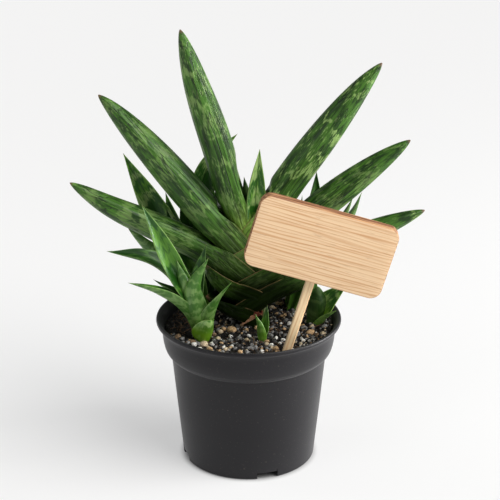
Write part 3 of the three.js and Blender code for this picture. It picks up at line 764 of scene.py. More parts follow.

# A tint far under 1 on a leaf in deep shade is painted shade; a tint above 1, or strong banding, on a leaf
# shaded by the fan or the board is painted light.
YOUNG_LEAVES = {
    "fan": [
        dict(name="heart", width=16, thick=3, foot=[12, 3], facing=[0.3, -1, 0], tint=0.95, banding=0.85,
             path=[[6, 12, 122], [5, 11, 148], [4, 9, 175], [7, 7, 208]]),
        dict(name="heart_tip", width=11, thick=3, foot=[10, 3], facing=[0.3, 1, 0], tint=0.3,
             path=[[5, 18, 122], [1, 18, 150], [-3, 17, 186]]),
    ],
    "pup_front_left": [
        dict(name="1", width=9, facing=[0, 1, 0.2],
             path=[[-29, -17, 92], [-36.5, -19.5, 113], [-45, -22, 144]]),
        dict(name="2", width=17, facing=[0.3, -1, 0.3], keel=0.25, tint=0.9,
             path=[[-31, -15, 90], [-36, -16, 112], [-48, -17.5, 138], [-66, -22, 181]]),
        dict(name="3", width=18, facing=[-0.2, 1, 0], tint=0.85,
             path=[[-28, -19, 88], [-31, -22, 106], [-34.5, -24, 125], [-25, -22, 146]]),
        dict(name="4", width=20, tint=0.8,
             path=[[-26, -17, 87], [-24.5, -20, 103], [-19, -24, 118], [-10, -27, 132]]),
        dict(name="5", width=13, facing=[0, -1, 0.2], tint=0.3,
             path=[[-33, -12, 88], [-34.5, -10, 116], [-27, -7, 149]]),
        dict(name="6", width=19, facing=[0, 0.15, 1], keel=0.25, tint=0.75,
             path=[[-32, -16, 86], [-41, -19, 108], [-56, -23, 122], [-76, -27, 131]]),
        dict(name="7", width=13, tint=0.3, path=[[-31, -12, 86], [-40, -11, 110], [-61, -9, 126]]),
        dict(name="8", width=16, facing=[0.2, -0.5, 1], tint=0.4,
             path=[[-30, -11, 86], [-41, -9, 118], [-60, -9, 138], [-90, -9, 145]]),
        dict(name="9", width=21, facing=[-0.4, 1, 0.3], wrap=[105, 66], foot=[19, 1.8], cone=0.75,
             blunt=0.55, tint=3.0, path=[[-28, -19, 84], [-27.5, -24.5, 93], [-24.6, -28, 105.5]]),
    ],
    "pup_back_left": [
        dict(name="1", width=14, facing=[0, -1, 0.2], tint=0.8,
             path=[[-27, 30, 86], [-36, 30, 120], [-48, 30, 148], [-54, 30, 171]]),
        dict(name="2", width=23, thick=4, facing=[0, -1, 0.3], tint=1.0, banding=0.8,
             path=[[-29, 33, 85], [-42, 33, 120], [-62, 32, 160], [-81, 32, 197]]),
        dict(name="3", width=24, facing=[0.2, -1, 0.2], tint=0.1, blunt=0.8,
             path=[[-26, 35, 84], [-32.5, 38, 120], [-40.5, 38, 145], [-44, 38, 164]]),
        dict(name="4", width=20, facing=[0.4, 0.9, 0.6], tint=0.7, blunt=0.7,
             path=[[-30, 28, 83], [-46, 25, 112], [-66, 23, 134], [-78, 21, 149]]),
    ],
    "pup_back": [
        dict(name="1", width=20, facing=[0.2, -0.8, 0.6], tint=1.0, banding=1.0,
             path=[[-5, 39, 86], [-24, 38, 135], [-31, 37, 168], [-24, 36, 190], [-7, 35, 209]]),
        dict(name="2", width=14, tint=0.3,
             path=[[-7, 43, 84], [-20, 44, 130], [-27, 44, 160], [-25, 45, 177]]),
        dict(name="3", width=17, facing=[0, 1, 0], tint=0.4,
             path=[[-2, 36, 83], [-10, 34, 130], [-19, 33, 160], [-21, 32, 177]]),
    ],
    "pup_back_right": [
        dict(name="1", width=13, facing=[0, -1, 0.2], tint=0.3,
             path=[[28, 33, 86], [38, 34, 130], [43, 34, 160], [44, 34, 184]]),
        dict(name="2", width=12, tint=0.2, path=[[27, 38, 84], [34, 39, 130], [35, 39, 166]]),
        dict(name="3", width=14, tint=0.4, path=[[31, 33, 83], [48, 32, 125], [62, 30, 152], [68, 30, 168]]),
        dict(name="4", width=14, tint=0.4, path=[[31, 37, 82], [50, 37, 122], [67, 36, 150], [74, 36, 169]]),
    ],
    "pup_right": [
        dict(name="1", width=26, facing=[-0.3, -1, 0.5], wrap=[70, 32], foot=[12, 1.8], blunt=0.7,
             tint=2.4, banding=0.8, path=[[44, 8, 90], [50, 3, 104], [62, -5, 120]]),
        dict(name="2", width=29, facing=[0, 1, 0.2], wrap=[62, 42], foot=[16, 1.8], blunt=0.59,
             tint=0.1, path=[[43.5, 5, 86], [45, 1, 101], [44, -2, 118]]),
        dict(name="3", width=12, facing=[0, -1, 0.2], path=[[42, 11, 88], [43, 13, 104], [44, 15, 117]]),
        dict(name="4", width=13, wrap=[90, 70], tint=0.7, path=[[43, 4, 84], [49, -1, 95], [57, -8, 104]]),
    ],
    "pup_tiny": [
        dict(name="1", width=9, facing=[-0.4, -1, 0.2], thick=2, foot=[6, 1.6], tint=0.5,
             path=[[9, -17, 86], [11, -17, 100], [12, -17, 112]]),
        dict(name="2", width=11, facing=[0.6, 1, 0], thick=2, foot=[8, 1.6], tint=1.0,
             path=[[8, -20, 84], [7, -23, 98], [4, -25, 109]]),
    ],
}
print("young leaves of each shoot:", {shoot: len(leaves) for shoot, leaves in YOUNG_LEAVES.items()})

# %% Build the young leaves
WAVE_LENGTH = 21
NO_POINT_BELOW = 0.6
NO_POINT = 10


def young_leaf(shoot, leaf, offset, rings=80, around=32):
    """One young leaf, whose sizes go by a smooth step from the foot's to the blade's, times the taper.

    The tip of a leaf that is blunter than NO_POINT_BELOW is told to be far away, so it stays green.
    """
    leaf = {**YOUNG, **leaf}
    shares = shares_to_tip(rings)
    place, along, reach = smooth_path(leaf["path"], shares)
    s = shares * reach
    rest = np.minimum(1, (reach - s) / leaf["width"] / leaf["cone"])
    taper = np.sin(np.pi / 2 * rest) ** leaf["blunt"] * (0.75 + 0.25 * np.minimum(1, 2 * shares))
    opened = smoothstep(shares, 0, leaf["share"])
    wrap = np.radians(mix(*leaf["wrap"], opened))
    half = mix(leaf["foot"][0], leaf["width"] * taper, opened) / 2
    depth = mix(leaf["foot"][1], leaf["thick"] * np.minimum(1, taper * 1.6), opened) / 2
    depth = np.minimum(depth, 0.45 * half + 0.02)
    wave = leaf["wave"] * np.sin(2 * np.pi * s / WAVE_LENGTH + offset) * smoothstep(s, 8, 20) * taper
    facing = np.array(leaf["facing"], float)
    points, across, height = leaf_points(
        place, along, facing, half, depth, wrap, leaf["keel"], around, wave)
    to_edge = half[:, None] - np.abs(across)
    values = leaf_values(across, height, s, to_edge, offset, tint=leaf["tint"], hollow=height > 0,
                         banding=leaf["banding"], middle=np.abs(across) * MM)
    if leaf["blunt"] < NO_POINT_BELOW:
        values["tip"] += NO_POINT * MM
    name = f"{shoot}_leaf_{leaf['name']}"
    return make_piece("skin_" + name, points, ring_faces(rings, around), YOUNG_SKIN, [name], values)


young_pieces = []
for shoot, leaves in YOUNG_LEAVES.items():
    for leaf in leaves:
        young_pieces.append(young_leaf(shoot, leaf, len(young_pieces) + 20))
print("young leaves:", len(young_pieces))

# %% [markdown]
# ## The pot
#
# A nursery pot is one moulded shell of thin black plastic: a tapering wall, a band that steps out near the
# top, a rolled rim, and a foot ring with notches that let the water out. A profile turned round the axis
# gives all but the notches. For those we add two columns of points close together at each side of a notch
# and lift the ring's lowest points between them, so the edges come out crisp without any cutting.
#
# Each corner of the profile is its distance from the axis, its height, and how much of it is rounded off.
# The inner wall is a list of its own, because the soil follows it.

# %% Describe the pot
FLOOR_BOTTOM, FLOOR_TOP = 5.5, 6.9
FOOT_RADIUS = 42.4
WALL_CORNERS = [
    (42.3, FLOOR_TOP, 2.0), (45.4, 36, 0), (49, 73.6, 1.2), (51.7, 75.3, 1.0), (52.9, 77.4, 1.0),
    (53.7, 80, 1.2), (54.3, 83.4, 0),
]
FOOT_CORNERS = [(0, FLOOR_BOTTOM, 0), (40.8, FLOOR_BOTTOM, 0.4), (41.1, 0, 0.3), (FOOT_RADIUS, 0, 0.5)]
BAND_CORNERS = [
    (43.1, 1, 0.5), (46.7, 36, 0), (50.3, 72.6, 0.8), (52.6, 74, 1.0), (54.1, 76.4, 1.1), (55, 79.6, 1.2),
    (55.6, 83, 1.5), (56.2, 90.5, 1.6),
]
RIM_CORNERS = [
    (57.5, 93.2, 1.0), (59.5, 94, 0.6), (60, 95.3, 0.7), (59.4, 96.9, 0.6), (57.9, 96.6, 0.7),
    (56.2, 94.4, 1.2), (54.9, 91, 2.0),
]
POT_CORNERS = [*FOOT_CORNERS, *BAND_CORNERS, *RIM_CORNERS, *WALL_CORNERS[::-1], (0, FLOOR_TOP, 0)]
NOTCH_TURNS = np.radians(16.5 + 90 * np.arange(4))
NOTCH_HALF_WIDTH = 6.75
NOTCH_HEIGHT = 4.4
DRAIN_RADIUS = 3.2
DRAIN_CIRCLE = 27
DRAIN_CUT = 6
print("corners of the pot's profile:", len(POT_CORNERS))


# %% Round and divide a profile
def rounded_line(corners, steps=6):
    """The line through the corners, where each corner is cut by its own length on both sides and rounded.

    The rounding is (1 - t)^2 a + 2 t (1 - t) corner + t^2 b between the two cuts a and b.
    """
    line = []
    t = np.linspace(0, 1, steps)[:, None]
    points = np.array([corner[:2] for corner in corners], float)
    for k, (*_, cut) in enumerate(corners):
        if cut == 0 or k in (0, len(corners) - 1):
            line.append(points[k][None])
            continue
        ends = []
        for other in (points[k - 1], points[k + 1]):
            away = other - points[k]
            reach = np.linalg.norm(away)
            ends.append(points[k] + away / reach * min(cut, 0.48 * reach))
        line.append((1 - t) ** 2 * ends[0] + 2 * t * (1 - t) * points[k] + t**2 * ends[1])
    return np.vstack(line)


def split_long_steps(line, longest):
    """Adds points to a line so that no step is longer than the given length."""
    pieces = [line[:1]]
    for a, b in zip(line[:-1], line[1:]):
        count = max(1, int(np.ceil(np.linalg.norm(b - a) / longest)))
        pieces.append(a + (b - a) * (np.arange(1, count + 1) / count)[:, None])
    return np.vstack(pieces)


print("pot profile points:", len(rounded_line(POT_CORNERS)))

# %% [markdown]
# The plastic is charcoal rather than black, with a satin face that lies between matt and glossy. Its very
# fine moulded grain is too small to model, so it is a bump. It scatters light that grazes the sides,
# which a little sheen gives. Specks of dust from the soil lie here and there, thicker where a cloudy
# noise is bright.

# %% Make the pot's plastic
def pot_plastic():
    """Charcoal with a cloudy tone, dust where specks and clouds meet, and a fine grain as relief."""
    material, tree, shader = new_material("charcoal_pot_plastic")
    place = add(tree, "ShaderNodeTexCoord").outputs["Object"]
    grain = noise(tree, place, scale=2600.0, detail=2.0)
    cloud = noise(tree, scaled(tree, place, (14.0, 14.0, 40.0)), detail=4.0)
    specks = ramp(tree, noise(tree, place, scale=900.0, detail=1.0), 0.68, 0.76)
    base = blend_colours(tree, cloud, colour(29, 28, 31), colour(37, 36, 39))
    dust = math(tree, "MULTIPLY", specks, math(tree, "MULTIPLY", cloud, 0.35))
    base = blend_colours(tree, dust, base, colour(120, 110, 98))
    tree.links.new(base, shader["Base Color"])
    tree.links.new(ramp(tree, cloud, 0.3, 0.7, 0.36, 0.44), shader["Roughness"])
    tree.links.new(bump(tree, grain, 0.00005, 0.6), shader["Normal"])
    shader["Specular IOR Level"].default_value = 0.32
    shader["Sheen Weight"].default_value = 0.12
    shader["Sheen Roughness"].default_value = 0.4
    return material


POT_PLASTIC = pot_plastic()
print("material:", POT_PLASTIC.name)


# %% Turn the pot
NOTCH_EDGE = 5e-4


def pot_columns(count=192):
    """Turns round the axis from -Y, with a pair of columns close together at each side of a notch."""
    side = np.arcsin(NOTCH_HALF_WIDTH / FOOT_RADIUS)
    pair = (side - NOTCH_EDGE, side + NOTCH_EDGE)
    edges = [turn + sign * step for turn in NOTCH_TURNS for sign in (-1, 1) for step in pair]
    turns = np.unique(np.r_[2 * np.pi * np.arange(count) / count, np.mod(edges, 2 * np.pi)])
    off_notch = np.min(np.abs((turns[:, None] - NOTCH_TURNS + np.pi) % (2 * np.pi) - np.pi), 1)
    return turns, off_notch < side


def merge_close_points(piece, distance=1e-6):
    """Joins points that lie on each other, as those of a ring on the axis do, and turns faces outwards."""
    grown = bmesh.new()
    grown.from_mesh(piece.data)
    bmesh.ops.remove_doubles(grown, verts=grown.verts, dist=distance)
    bmesh.ops.recalc_face_normals(grown, faces=grown.faces)
    grown.to_mesh(piece.data)
    grown.free()


def build_pot():
    """Turns the profile round the axis: (r sin turn, -r cos turn, z), where z is lifted in the notches."""
    line = split_long_steps(rounded_line(POT_CORNERS), 6.0)
    turns, in_notch = pot_columns()
    radius, height = line[:, :1], line[:, 1:]
    z = np.where(in_notch[None], np.maximum(height, NOTCH_HEIGHT), height)
    points = np.stack([radius * np.sin(turns), -radius * np.cos(turns), z], -1)
    faces = side_faces(len(line), len(turns))
    pot = make_piece("turned_pot", points, faces, POT_PLASTIC, ["pot"])
    merge_close_points(pot)
    return pot


pot = build_pot()
print("pot faces:", len(pot.data.polygons))

# %% [markdown]
# The drain holes are round and lie in the floor, where the profile's columns would give them ragged
# edges. So they are cut with a Boolean, whose result we keep as the pot's mesh.

# %% Cut the drain holes
def cut_drain_holes(pot):
    """Takes an upright cylinder out of the floor in line with each notch."""
    cutter_mesh = bpy.data.meshes.new("drain cutter")
    shape = bmesh.new()
    for turn in NOTCH_TURNS:
        x, y = DRAIN_CIRCLE * np.sin(turn), -DRAIN_CIRCLE * np.cos(turn)
        middle = Vector((x, y, (FLOOR_BOTTOM + FLOOR_TOP) / 2)) * MM
        bmesh.ops.create_cone(shape, cap_ends=True, segments=32, radius1=DRAIN_RADIUS * MM,
                              radius2=DRAIN_RADIUS * MM, depth=DRAIN_CUT * MM,
                              matrix=Matrix.Translation(middle))
    shape.to_mesh(cutter_mesh)
    shape.free()
    cutter = bpy.data.objects.new("drain cutter", cutter_mesh)
    bpy.context.scene.collection.objects.link(cutter)
    cut = pot.modifiers.new("drain holes", "BOOLEAN")
    cut.operation = "DIFFERENCE"
    cut.solver = "EXACT"
    cut.object = cutter
    bpy.context.view_layer.update()
    evaluated = pot.evaluated_get(bpy.context.evaluated_depsgraph_get())
    finished = bpy.data.meshes.new_from_object(evaluated)
    pot.modifiers.remove(cut)
    bpy.data.objects.remove(cutter)
    pot.data = finished
    pot.data.set_sharp_from_angle(angle=np.radians(38))


cut_drain_holes(pot)
print("pot faces with the holes:", len(pot.data.polygons))

# %% [markdown]
# ## The soil
#
# The soil fills the pot to just under the rim. What the eye sees is not a surface but a crowd of grains, so
# we make a slightly bumpy body and lay real grains on it: some thousands of small angular ones in one mesh,
# a few hundred larger ones, and one by one the pebbles that catch the eye. Each kind is one piece. A grain
# has few faces, since a sharp small stone needs no more, and carries a number that picks its colour.
#
# The soil climbs a little at the wall, most of all at the right, so its height is banked there. For each
# shown pebble we give its place, its radius and the number of its colour.

# %% Describe the soil and its stones
SOIL_LEVEL = 88
SOIL_GAP = 0.35
SOIL_RADIUS = 53.6
BANK, BANK_RADII = 2.6, (42, 53)
RIGHT_BANK, RIGHT_BANK_X = 2.2, (34, 50)
SHOWN_PEBBLES = [
    (-45, -19, 2.8, 0.62), (-35.5, -24, 2.2, 0.55), (-28.5, -25, 2.8, 0.8), (-21.5, -24.5, 2.2, 0.25),
    (-11, -7, 3.4, 0.7), (1.5, -24, 1.4, 0.97), (11.5, -25, 1.8, 0.85), (17, -32.5, 2.6, 0.68),
    (40, -9, 3.0, 0.66), (44, -15, 1.8, 0.6), (47.5, -17.5, 2.0, 0.9), (-18, -30, 1.7, 0.3),
]


def soil_height(x, y):
    """The slight crown and low waves that the solid soil has too, and the banks along the wall."""
    waves = np.sin(0.31 * x + 1) * np.cos(0.27 * y) + 0.6 * np.sin(0.13 * x - 0.21 * y + 2)
    out = np.hypot(x, y)
    bank = BANK * smoothstep(out, *BANK_RADII) + RIGHT_BANK * smoothstep(x, *RIGHT_BANK_X)
    return SOIL_LEVEL + 0.7 * waves - 0.02 * out + bank


def crumbs(x, y, count, low, high, seed):
    """A sum of sine waves of seeded directions and lengths, between -1 and 1 or so."""
    random = np.random.default_rng(seed)
    turn, size = random.uniform(0, np.pi, count), random.uniform(low, high, count)
    phase = random.uniform(0, 2 * np.pi, count)
    wave = 2 * np.pi / size * (x[..., None] * np.cos(turn) + y[..., None] * np.sin(turn)) + phase
    return np.sin(wave).sum(-1) / np.sqrt(count)


print("soil level:", SOIL_LEVEL, "mm")

# %% [markdown]
# The stones' colours come in a few families: near black and grey grit, brown bits of bark, and tan, cream
# and white pebbles. One material for each family would need a mesh for each, so a colour ramp turns the
# number on each grain into one of these, and a fine noise makes them mottled.

# %% Make the stones' material
def colour_steps(tree, value, stops):
    """A colour ramp in steps: the colour of a stop holds until the next one."""
    made = add(tree, "ShaderNodeValToRGB", {0: value})
    made.color_ramp.interpolation = "CONSTANT"
    while len(made.color_ramp.elements) < len(stops):
        made.color_ramp.elements.new(1.0)
    for element, (position, tone) in zip(made.color_ramp.elements, stops):
        element.position = position
        element.color = tone
    return made.outputs[0]


STONE_TONES = [
    (0.0, colour(20, 18, 17)), (0.12, colour(70, 68, 67)), (0.3, colour(146, 145, 144)),
    (0.42, colour(80, 62, 46)), (0.52, colour(142, 118, 92)), (0.64, colour(202, 170, 130)),
    (0.78, colour(218, 200, 170)), (0.9, colour(242, 240, 234)),
]


def stone_material():
    """The grain's own colour, with dark mottles from a fine noise."""
    material, tree, shader = new_material("mixed_stones")
    place = add(tree, "ShaderNodeTexCoord").outputs["Object"]
    mottle = noise(tree, place, scale=1100.0, detail=3.0)
    tone = colour_steps(tree, attribute(tree, "tone"), STONE_TONES)
    tone = blend_colours(tree, ramp(tree, mottle, 0.42, 0.7, 0.0, 0.7), tone, colour(28, 24, 20))
    tree.links.new(tone, shader["Base Color"])
    tree.links.new(ramp(tree, mottle, 0.3, 0.7, 0.75, 0.95), shader["Roughness"])
    tree.links.new(bump(tree, mottle, 0.0003, 0.8), shader["Normal"])
    return material


STONES = stone_material()
print("material:", STONES.name, "with", len(STONE_TONES), "tones")


# %% Make the peat and its fibres
def peat_material():
    """Nearly black crumbs with brown ones between them."""
    material, tree, shader = new_material("dark_peat")
    place = add(tree, "ShaderNodeTexCoord").outputs["Object"]
    crumb = noise(tree, place, scale=700.0, detail=5.0, roughness=0.7)
    tone = blend_colours(tree, ramp(tree, crumb, 0.35, 0.7), colour(10, 8, 6), colour(46, 36, 27))
    tree.links.new(tone, shader["Base Color"])
    tree.links.new(ramp(tree, crumb, 0.3, 0.7, 0.85, 1.0), shader["Roughness"])
    tree.links.new(bump(tree, crumb, 0.0012, 1.0), shader["Normal"])
    return material


def fibre_material():
    """Dark brown to straw, changing slowly along the fibres."""
    material, tree, shader = new_material("peat_fibre")
    place = add(tree, "ShaderNodeTexCoord").outputs["Object"]
    shade = noise(tree, place, scale=300.0, detail=2.0)
    tone = blend_colours(tree, shade, colour(52, 38, 26), colour(138, 106, 72))
    tree.links.new(tone, shader["Base Color"])
    tree.links.new(ramp(tree, shade, 0.3, 0.7, 0.7, 0.9), shader["Roughness"])
    return material


PEAT, FIBRE = peat_material(), fibre_material()
print("materials:", PEAT.name, FIBRE.name)

# %% [markdown]
# The body follows the pot's inner wall with a small gap and is closed on top by rings that shrink onto the
# axis. Its crumbs are a sum of short waves, which costs less than sculpting and is the same each time.

# %% Build the soil's body
def build_soil(around=220):
    """Rings (r cos turn, r sin turn, z) from the floor's middle up the wall and over the top to the axis.

    On top z is soil_height plus the crumbs, which fade out over the last 3 mm before the wall.
    """
    wall = split_long_steps(rounded_line(WALL_CORNERS), 3.0) + np.array([-SOIL_GAP, SOIL_GAP])
    top_radius = np.linspace(SOIL_RADIUS, 0, 110)
    radius = np.r_[0, wall[:, 0], top_radius][:, None]
    turn = 2 * np.pi * np.arange(around) / around
    x, y = radius * np.cos(turn), radius * np.sin(turn)
    rough = 0.35 * crumbs(x, y, 40, 2.2, 7.0, 3) * smoothstep(radius, SOIL_RADIUS, SOIL_RADIUS - 3)
    top = soil_height(x, y) + rough
    bottom = np.full((1, around), wall[0, 1])
    z = np.vstack([bottom, np.repeat(wall[:, 1:], around, 1), top[-len(top_radius):]])
    points = np.stack([x, y, z], -1)
    soil = make_piece("peaty_soil", points, side_faces(len(radius), around), PEAT, ["soil"])
    merge_close_points(soil)
    return soil


soil = build_soil()
print("soil faces:", len(soil.data.polygons))

# %% [markdown]
# A stone is a ball whose points are pushed in or out: at random for sharp grit, by soft waves for a worn
# pebble. All stones of a kind are worked out at once, as one array of points.

# %% Shape stones
def ball(subdivisions):
    """Points and triangles of a ball of radius 1."""
    shape = bmesh.new()
    bmesh.ops.create_icosphere(shape, subdivisions=subdivisions, radius=1.0)
    points = np.array([vertex.co[:] for vertex in shape.verts])
    faces = np.array([[vertex.index for vertex in face.verts] for face in shape.faces])
    shape.free()
    return points, faces


def random_turns(random, count):
    """Rotation matrices from random quaternions."""
    q = random.normal(size=(count, 4))
    w, x, y, z = (q / np.linalg.norm(q, axis=1, keepdims=True)).T
    rows = [
        [1 - 2 * (y * y + z * z), 2 * (x * y - z * w), 2 * (x * z + y * w)],
        [2 * (x * y + z * w), 1 - 2 * (x * x + z * z), 2 * (y * z - x * w)],
        [2 * (x * z - y * w), 2 * (y * z + x * w), 1 - 2 * (x * x + y * y)],
    ]
    return np.moveaxis(np.array(rows), -1, 0)


def lay_stones(name, x, y, radius, tone, seed, subdivisions, jagged, sink, smooth):
    """One mesh of many stones: balls whose points are moved in or out, squeezed, turned and put down.

    A point p becomes radius * turn(p * (1 + jagged * lump) * squeeze), and sink says how deep a stone lies.
    """
    random = np.random.default_rng(seed)
    unit, faces = ball(subdivisions)
    count = len(x)
    lumps = 1 + jagged * random.uniform(-1, 1, (count, len(unit), 1))
    if smooth:
        wave = random.normal(size=(count, 3, 3)) * 1.8
        lumps = 1 + jagged * np.sin(np.einsum("vk,nkl->nvl", unit, wave)).mean(-1, keepdims=True)
    squeeze = random.uniform(0.62, 1.1, (count, 1, 3))
    turned = np.einsum("nvk,nlk->nvl", unit[None] * lumps * squeeze, random_turns(random, count))
    turned[..., 2] *= 0.8
    z = soil_height(x, y) + radius * (0.75 - sink)
    points = turned * radius[:, None, None] + np.stack([x, y, z], -1)[:, None]
    faces = (faces[None] + len(unit) * np.arange(count)[:, None, None]).reshape(-1, 3)
    values = {"tone": np.repeat(tone, len(unit))}
    return make_piece(name, points, faces, STONES, [], values, smooth)


print("points and faces of a ball:", *(len(part) for part in ball(2)))


# %% [markdown]
# Places drawn wholly at random would leave bare patches and heaps. So the stones start on a hexagonal grid,
# and each is moved a little. Its colour is drawn from a list of shares, in which a number on the colour
# ramp stands before its share of the stones. Bare peat shows in the corner behind the front left shoot, so
# only dark grains lie there.

# %% Find places for the stones
def hexagonal_spots(random, spacing, reach, jitter):
    """Places on a hexagonal grid, each moved a little, inside a circle."""
    count = int(2 * reach / spacing) + 2
    i, j = np.meshgrid(np.arange(-count, count), np.arange(-count, count), indexing="ij")
    x = spacing * (i + 0.5 * (j % 2)) + random.uniform(-jitter, jitter, i.shape)
    y = spacing * np.sqrt(0.75) * j + random.uniform(-jitter, jitter, i.shape)
    inside = np.hypot(x, y) < reach
    return x[inside], y[inside]


def is_peaty(x, y):
    """The corner behind the front left shoot, where dark peat and fibres lie instead of stones."""
    return (x < -26) & (y > -13)


print("peaty at (-40, 0):", is_peaty(-40, 0))

# %% Lay grit and pebbles
GRIT_LIMIT = 54.5
GRIT_MIX = {0.05: 0.42, 0.2: 0.17, 0.35: 0.19, 0.45: 0.07, 0.58: 0.03, 0.7: 0.04, 0.85: 0.03, 0.95: 0.05}
PEBBLE_REACH = 50.5
PEBBLE_MIX = {0.2: 0.2, 0.35: 0.36, 0.58: 0.1, 0.7: 0.15, 0.85: 0.1, 0.95: 0.09}


def lay_grit():
    """Sharp grains 2 mm apart, smaller near the wall, and all dark in the peaty corner."""
    random = np.random.default_rng(11)
    x, y = hexagonal_spots(random, 2.0, SOIL_RADIUS, 0.8)
    radius = random.uniform(0.5, 1.1, len(x)) * random.choice([1, 1, 1.5], len(x))
    radius = np.minimum(radius, np.maximum(0.5, GRIT_LIMIT - np.hypot(x, y)))
    tone = random.choice(list(GRIT_MIX), len(x), p=list(GRIT_MIX.values()))
    tone = np.where(is_peaty(x, y) & (tone > 0.25), 0.05, tone)
    sink = random.uniform(0.0, 0.9, len(x))
    return lay_stones("fine_grit", x, y, radius, tone, 12, 1, 0.28, sink, False)


def lay_pebbles():
    """Worn stones 5.6 mm apart, none of them in the peaty corner."""
    random = np.random.default_rng(21)
    x, y = hexagonal_spots(random, 5.6, PEBBLE_REACH, 2.5)
    stony = ~is_peaty(x, y)
    x, y = x[stony], y[stony]
    radius = random.uniform(1.2, 2.2, len(x))
    tone = random.choice(list(PEBBLE_MIX), len(x), p=list(PEBBLE_MIX.values()))
    sink = random.uniform(0.2, 0.6, len(x))
    return lay_stones("small_pebbles", x, y, radius, tone, 22, 2, 0.26, sink, True)


grit, pebbles = lay_grit(), lay_pebbles()
x, y, radius, tone = np.array(SHOWN_PEBBLES).T
shown = lay_stones("large_pebbles", x, y, radius, tone, 33, 4, 0.2, np.full(len(x), 0.35), True)
for piece in (grit, pebbles, shown):
    print(piece.name, "faces:", len(piece.data.polygons))

# %% [markdown]
# Thin fibres of peat and root lie over the grains, most of them in the peaty corner. Each is a short bent
# tube that narrows to both ends, and all are one mesh.

# %% Lay fibres on the soil
def lay_fibres(count=90, in_peat=120, rings=9, around=5):
    """Tubes along bent lines, whose point t lies length * t away in the direction heading + bend * t.

    t runs from -1/2 to 1/2, the radius is thick * sqrt(1 - (1.9 t)^2), and cos(pi t) lifts the middle.
    """
    random = np.random.default_rng(41)
    out, turn = 50 * np.sqrt(random.uniform(0, 1, count)), random.uniform(0, 2 * np.pi, count)
    x = np.r_[out * np.cos(turn), random.uniform(-50, -26, in_peat)]
    y = np.r_[out * np.sin(turn), random.uniform(-12, 30, in_peat)]
    count += in_peat
    heading, bend = random.uniform(0, 2 * np.pi, count), random.uniform(-1.2, 1.2, count)
    length, thick = random.uniform(3, 10, count), random.uniform(0.1, 0.24, count)
    t = np.linspace(-0.5, 0.5, rings)
    angle = heading[:, None] + bend[:, None] * t
    px = x[:, None] + length[:, None] * t * np.cos(angle)
    py = y[:, None] + length[:, None] * t * np.sin(angle)
    inside = np.hypot(px, py).max(1) < 52
    px, py, angle, thick = px[inside], py[inside], angle[inside], thick[inside]
    arch = random.uniform(0.5, 1.6, len(px))[:, None] * np.cos(np.pi * t)
    pz = soil_height(px, py) + 0.5 + arch
    ring = 2 * np.pi * np.arange(around) / around
    taper = (thick[:, None] * np.sqrt(1 - (1.9 * t) ** 2))[..., None]
    side = taper * np.cos(ring)
    points = np.stack([
        px[..., None] - side * np.sin(angle)[..., None],
        py[..., None] + side * np.cos(angle)[..., None],
        pz[..., None] + taper * np.sin(ring)], -1)
    first_points = rings * around * np.arange(len(px))
    faces = (side_faces(rings, around)[None] + first_points[:, None, None]).reshape(-1, 4)
    fibres = make_piece("peat_fibres", points, faces, FIBRE, [])
    close_ends(fibres)
    return fibres


def close_ends(piece):
    """Fills every open hole of a mesh."""
    shape = bmesh.new()
    shape.from_mesh(piece.data)
    bmesh.ops.holes_fill(shape, edges=[edge for edge in shape.edges if edge.is_boundary], sides=0)
    bmesh.ops.recalc_face_normals(shape, faces=shape.faces)
    shape.to_mesh(piece.data)
    shape.free()


fibres = lay_fibres()
print("fibre faces:", len(fibres.data.polygons))

# %% [markdown]
# ## The wooden label
#
# The label is a small board with round corners, glued to the front of a stick. Its face is bare. Both are
# blocks of the same kind, so one function makes them: a rounded outline is carried through the thickness,
# a little smaller at both faces, which gives the soft edge that sanded wood has. Sizes are measured in the
# label's own upright plane, which is then tilted. The flat coordinates run along the grain: along the width
# of the board, and along the height of the stick.

# %% Describe the label
LABEL_FOOT = np.array([24.0, -46.0, 88.0])
BOARD = dict(width=87.9, height=47.4, thick=8, corner=7, bevel=0.8, tilt=16.4)
BOARD_MIDDLE = np.array([20.4, 73.6, 0.0])
STICK_DOWN, STICK_UP = 34, 91
STICK = dict(width=5.8, height=STICK_DOWN + STICK_UP, thick=3.4, corner=1.0, bevel=1.2, tilt=16.6)
BOARD_STICK_GAP = 0.35
GRAIN_ALONG_WIDTH, GRAIN_ALONG_HEIGHT = [0, 1, 2], [1, 0, 2]
print("board:", BOARD["width"], "by", BOARD["height"], "mm")


# %% Shape a wooden block
def rounded_rectangle(width, height, corner, inset, along=25, arc=10):
    """A closed outline that starts at the right end's middle, with as many points above the middle as below.

    The corner arcs shrink with the inset, so all outlines have the same number of points.
    """
    w, h = width / 2 - inset, height / 2 - inset
    r = max(corner - inset, 0.05)
    turn = np.linspace(0, np.pi / 2, arc)
    side_y = np.linspace(0, h - r, along // 3, endpoint=False)
    right = np.stack([np.full(len(side_y), w), side_y], -1)
    bend = np.stack([w - r + r * np.cos(turn), h - r + r * np.sin(turn)], -1)
    top_x = np.linspace(w - r, 0, along)[1:]
    top = np.stack([top_x, np.full(len(top_x), h)], -1)
    quarter = np.vstack([right, bend, top])
    half = np.vstack([quarter, (quarter * [-1, 1])[-2::-1]])
    return np.vstack([half, (half * [1, -1])[-2:0:-1]])


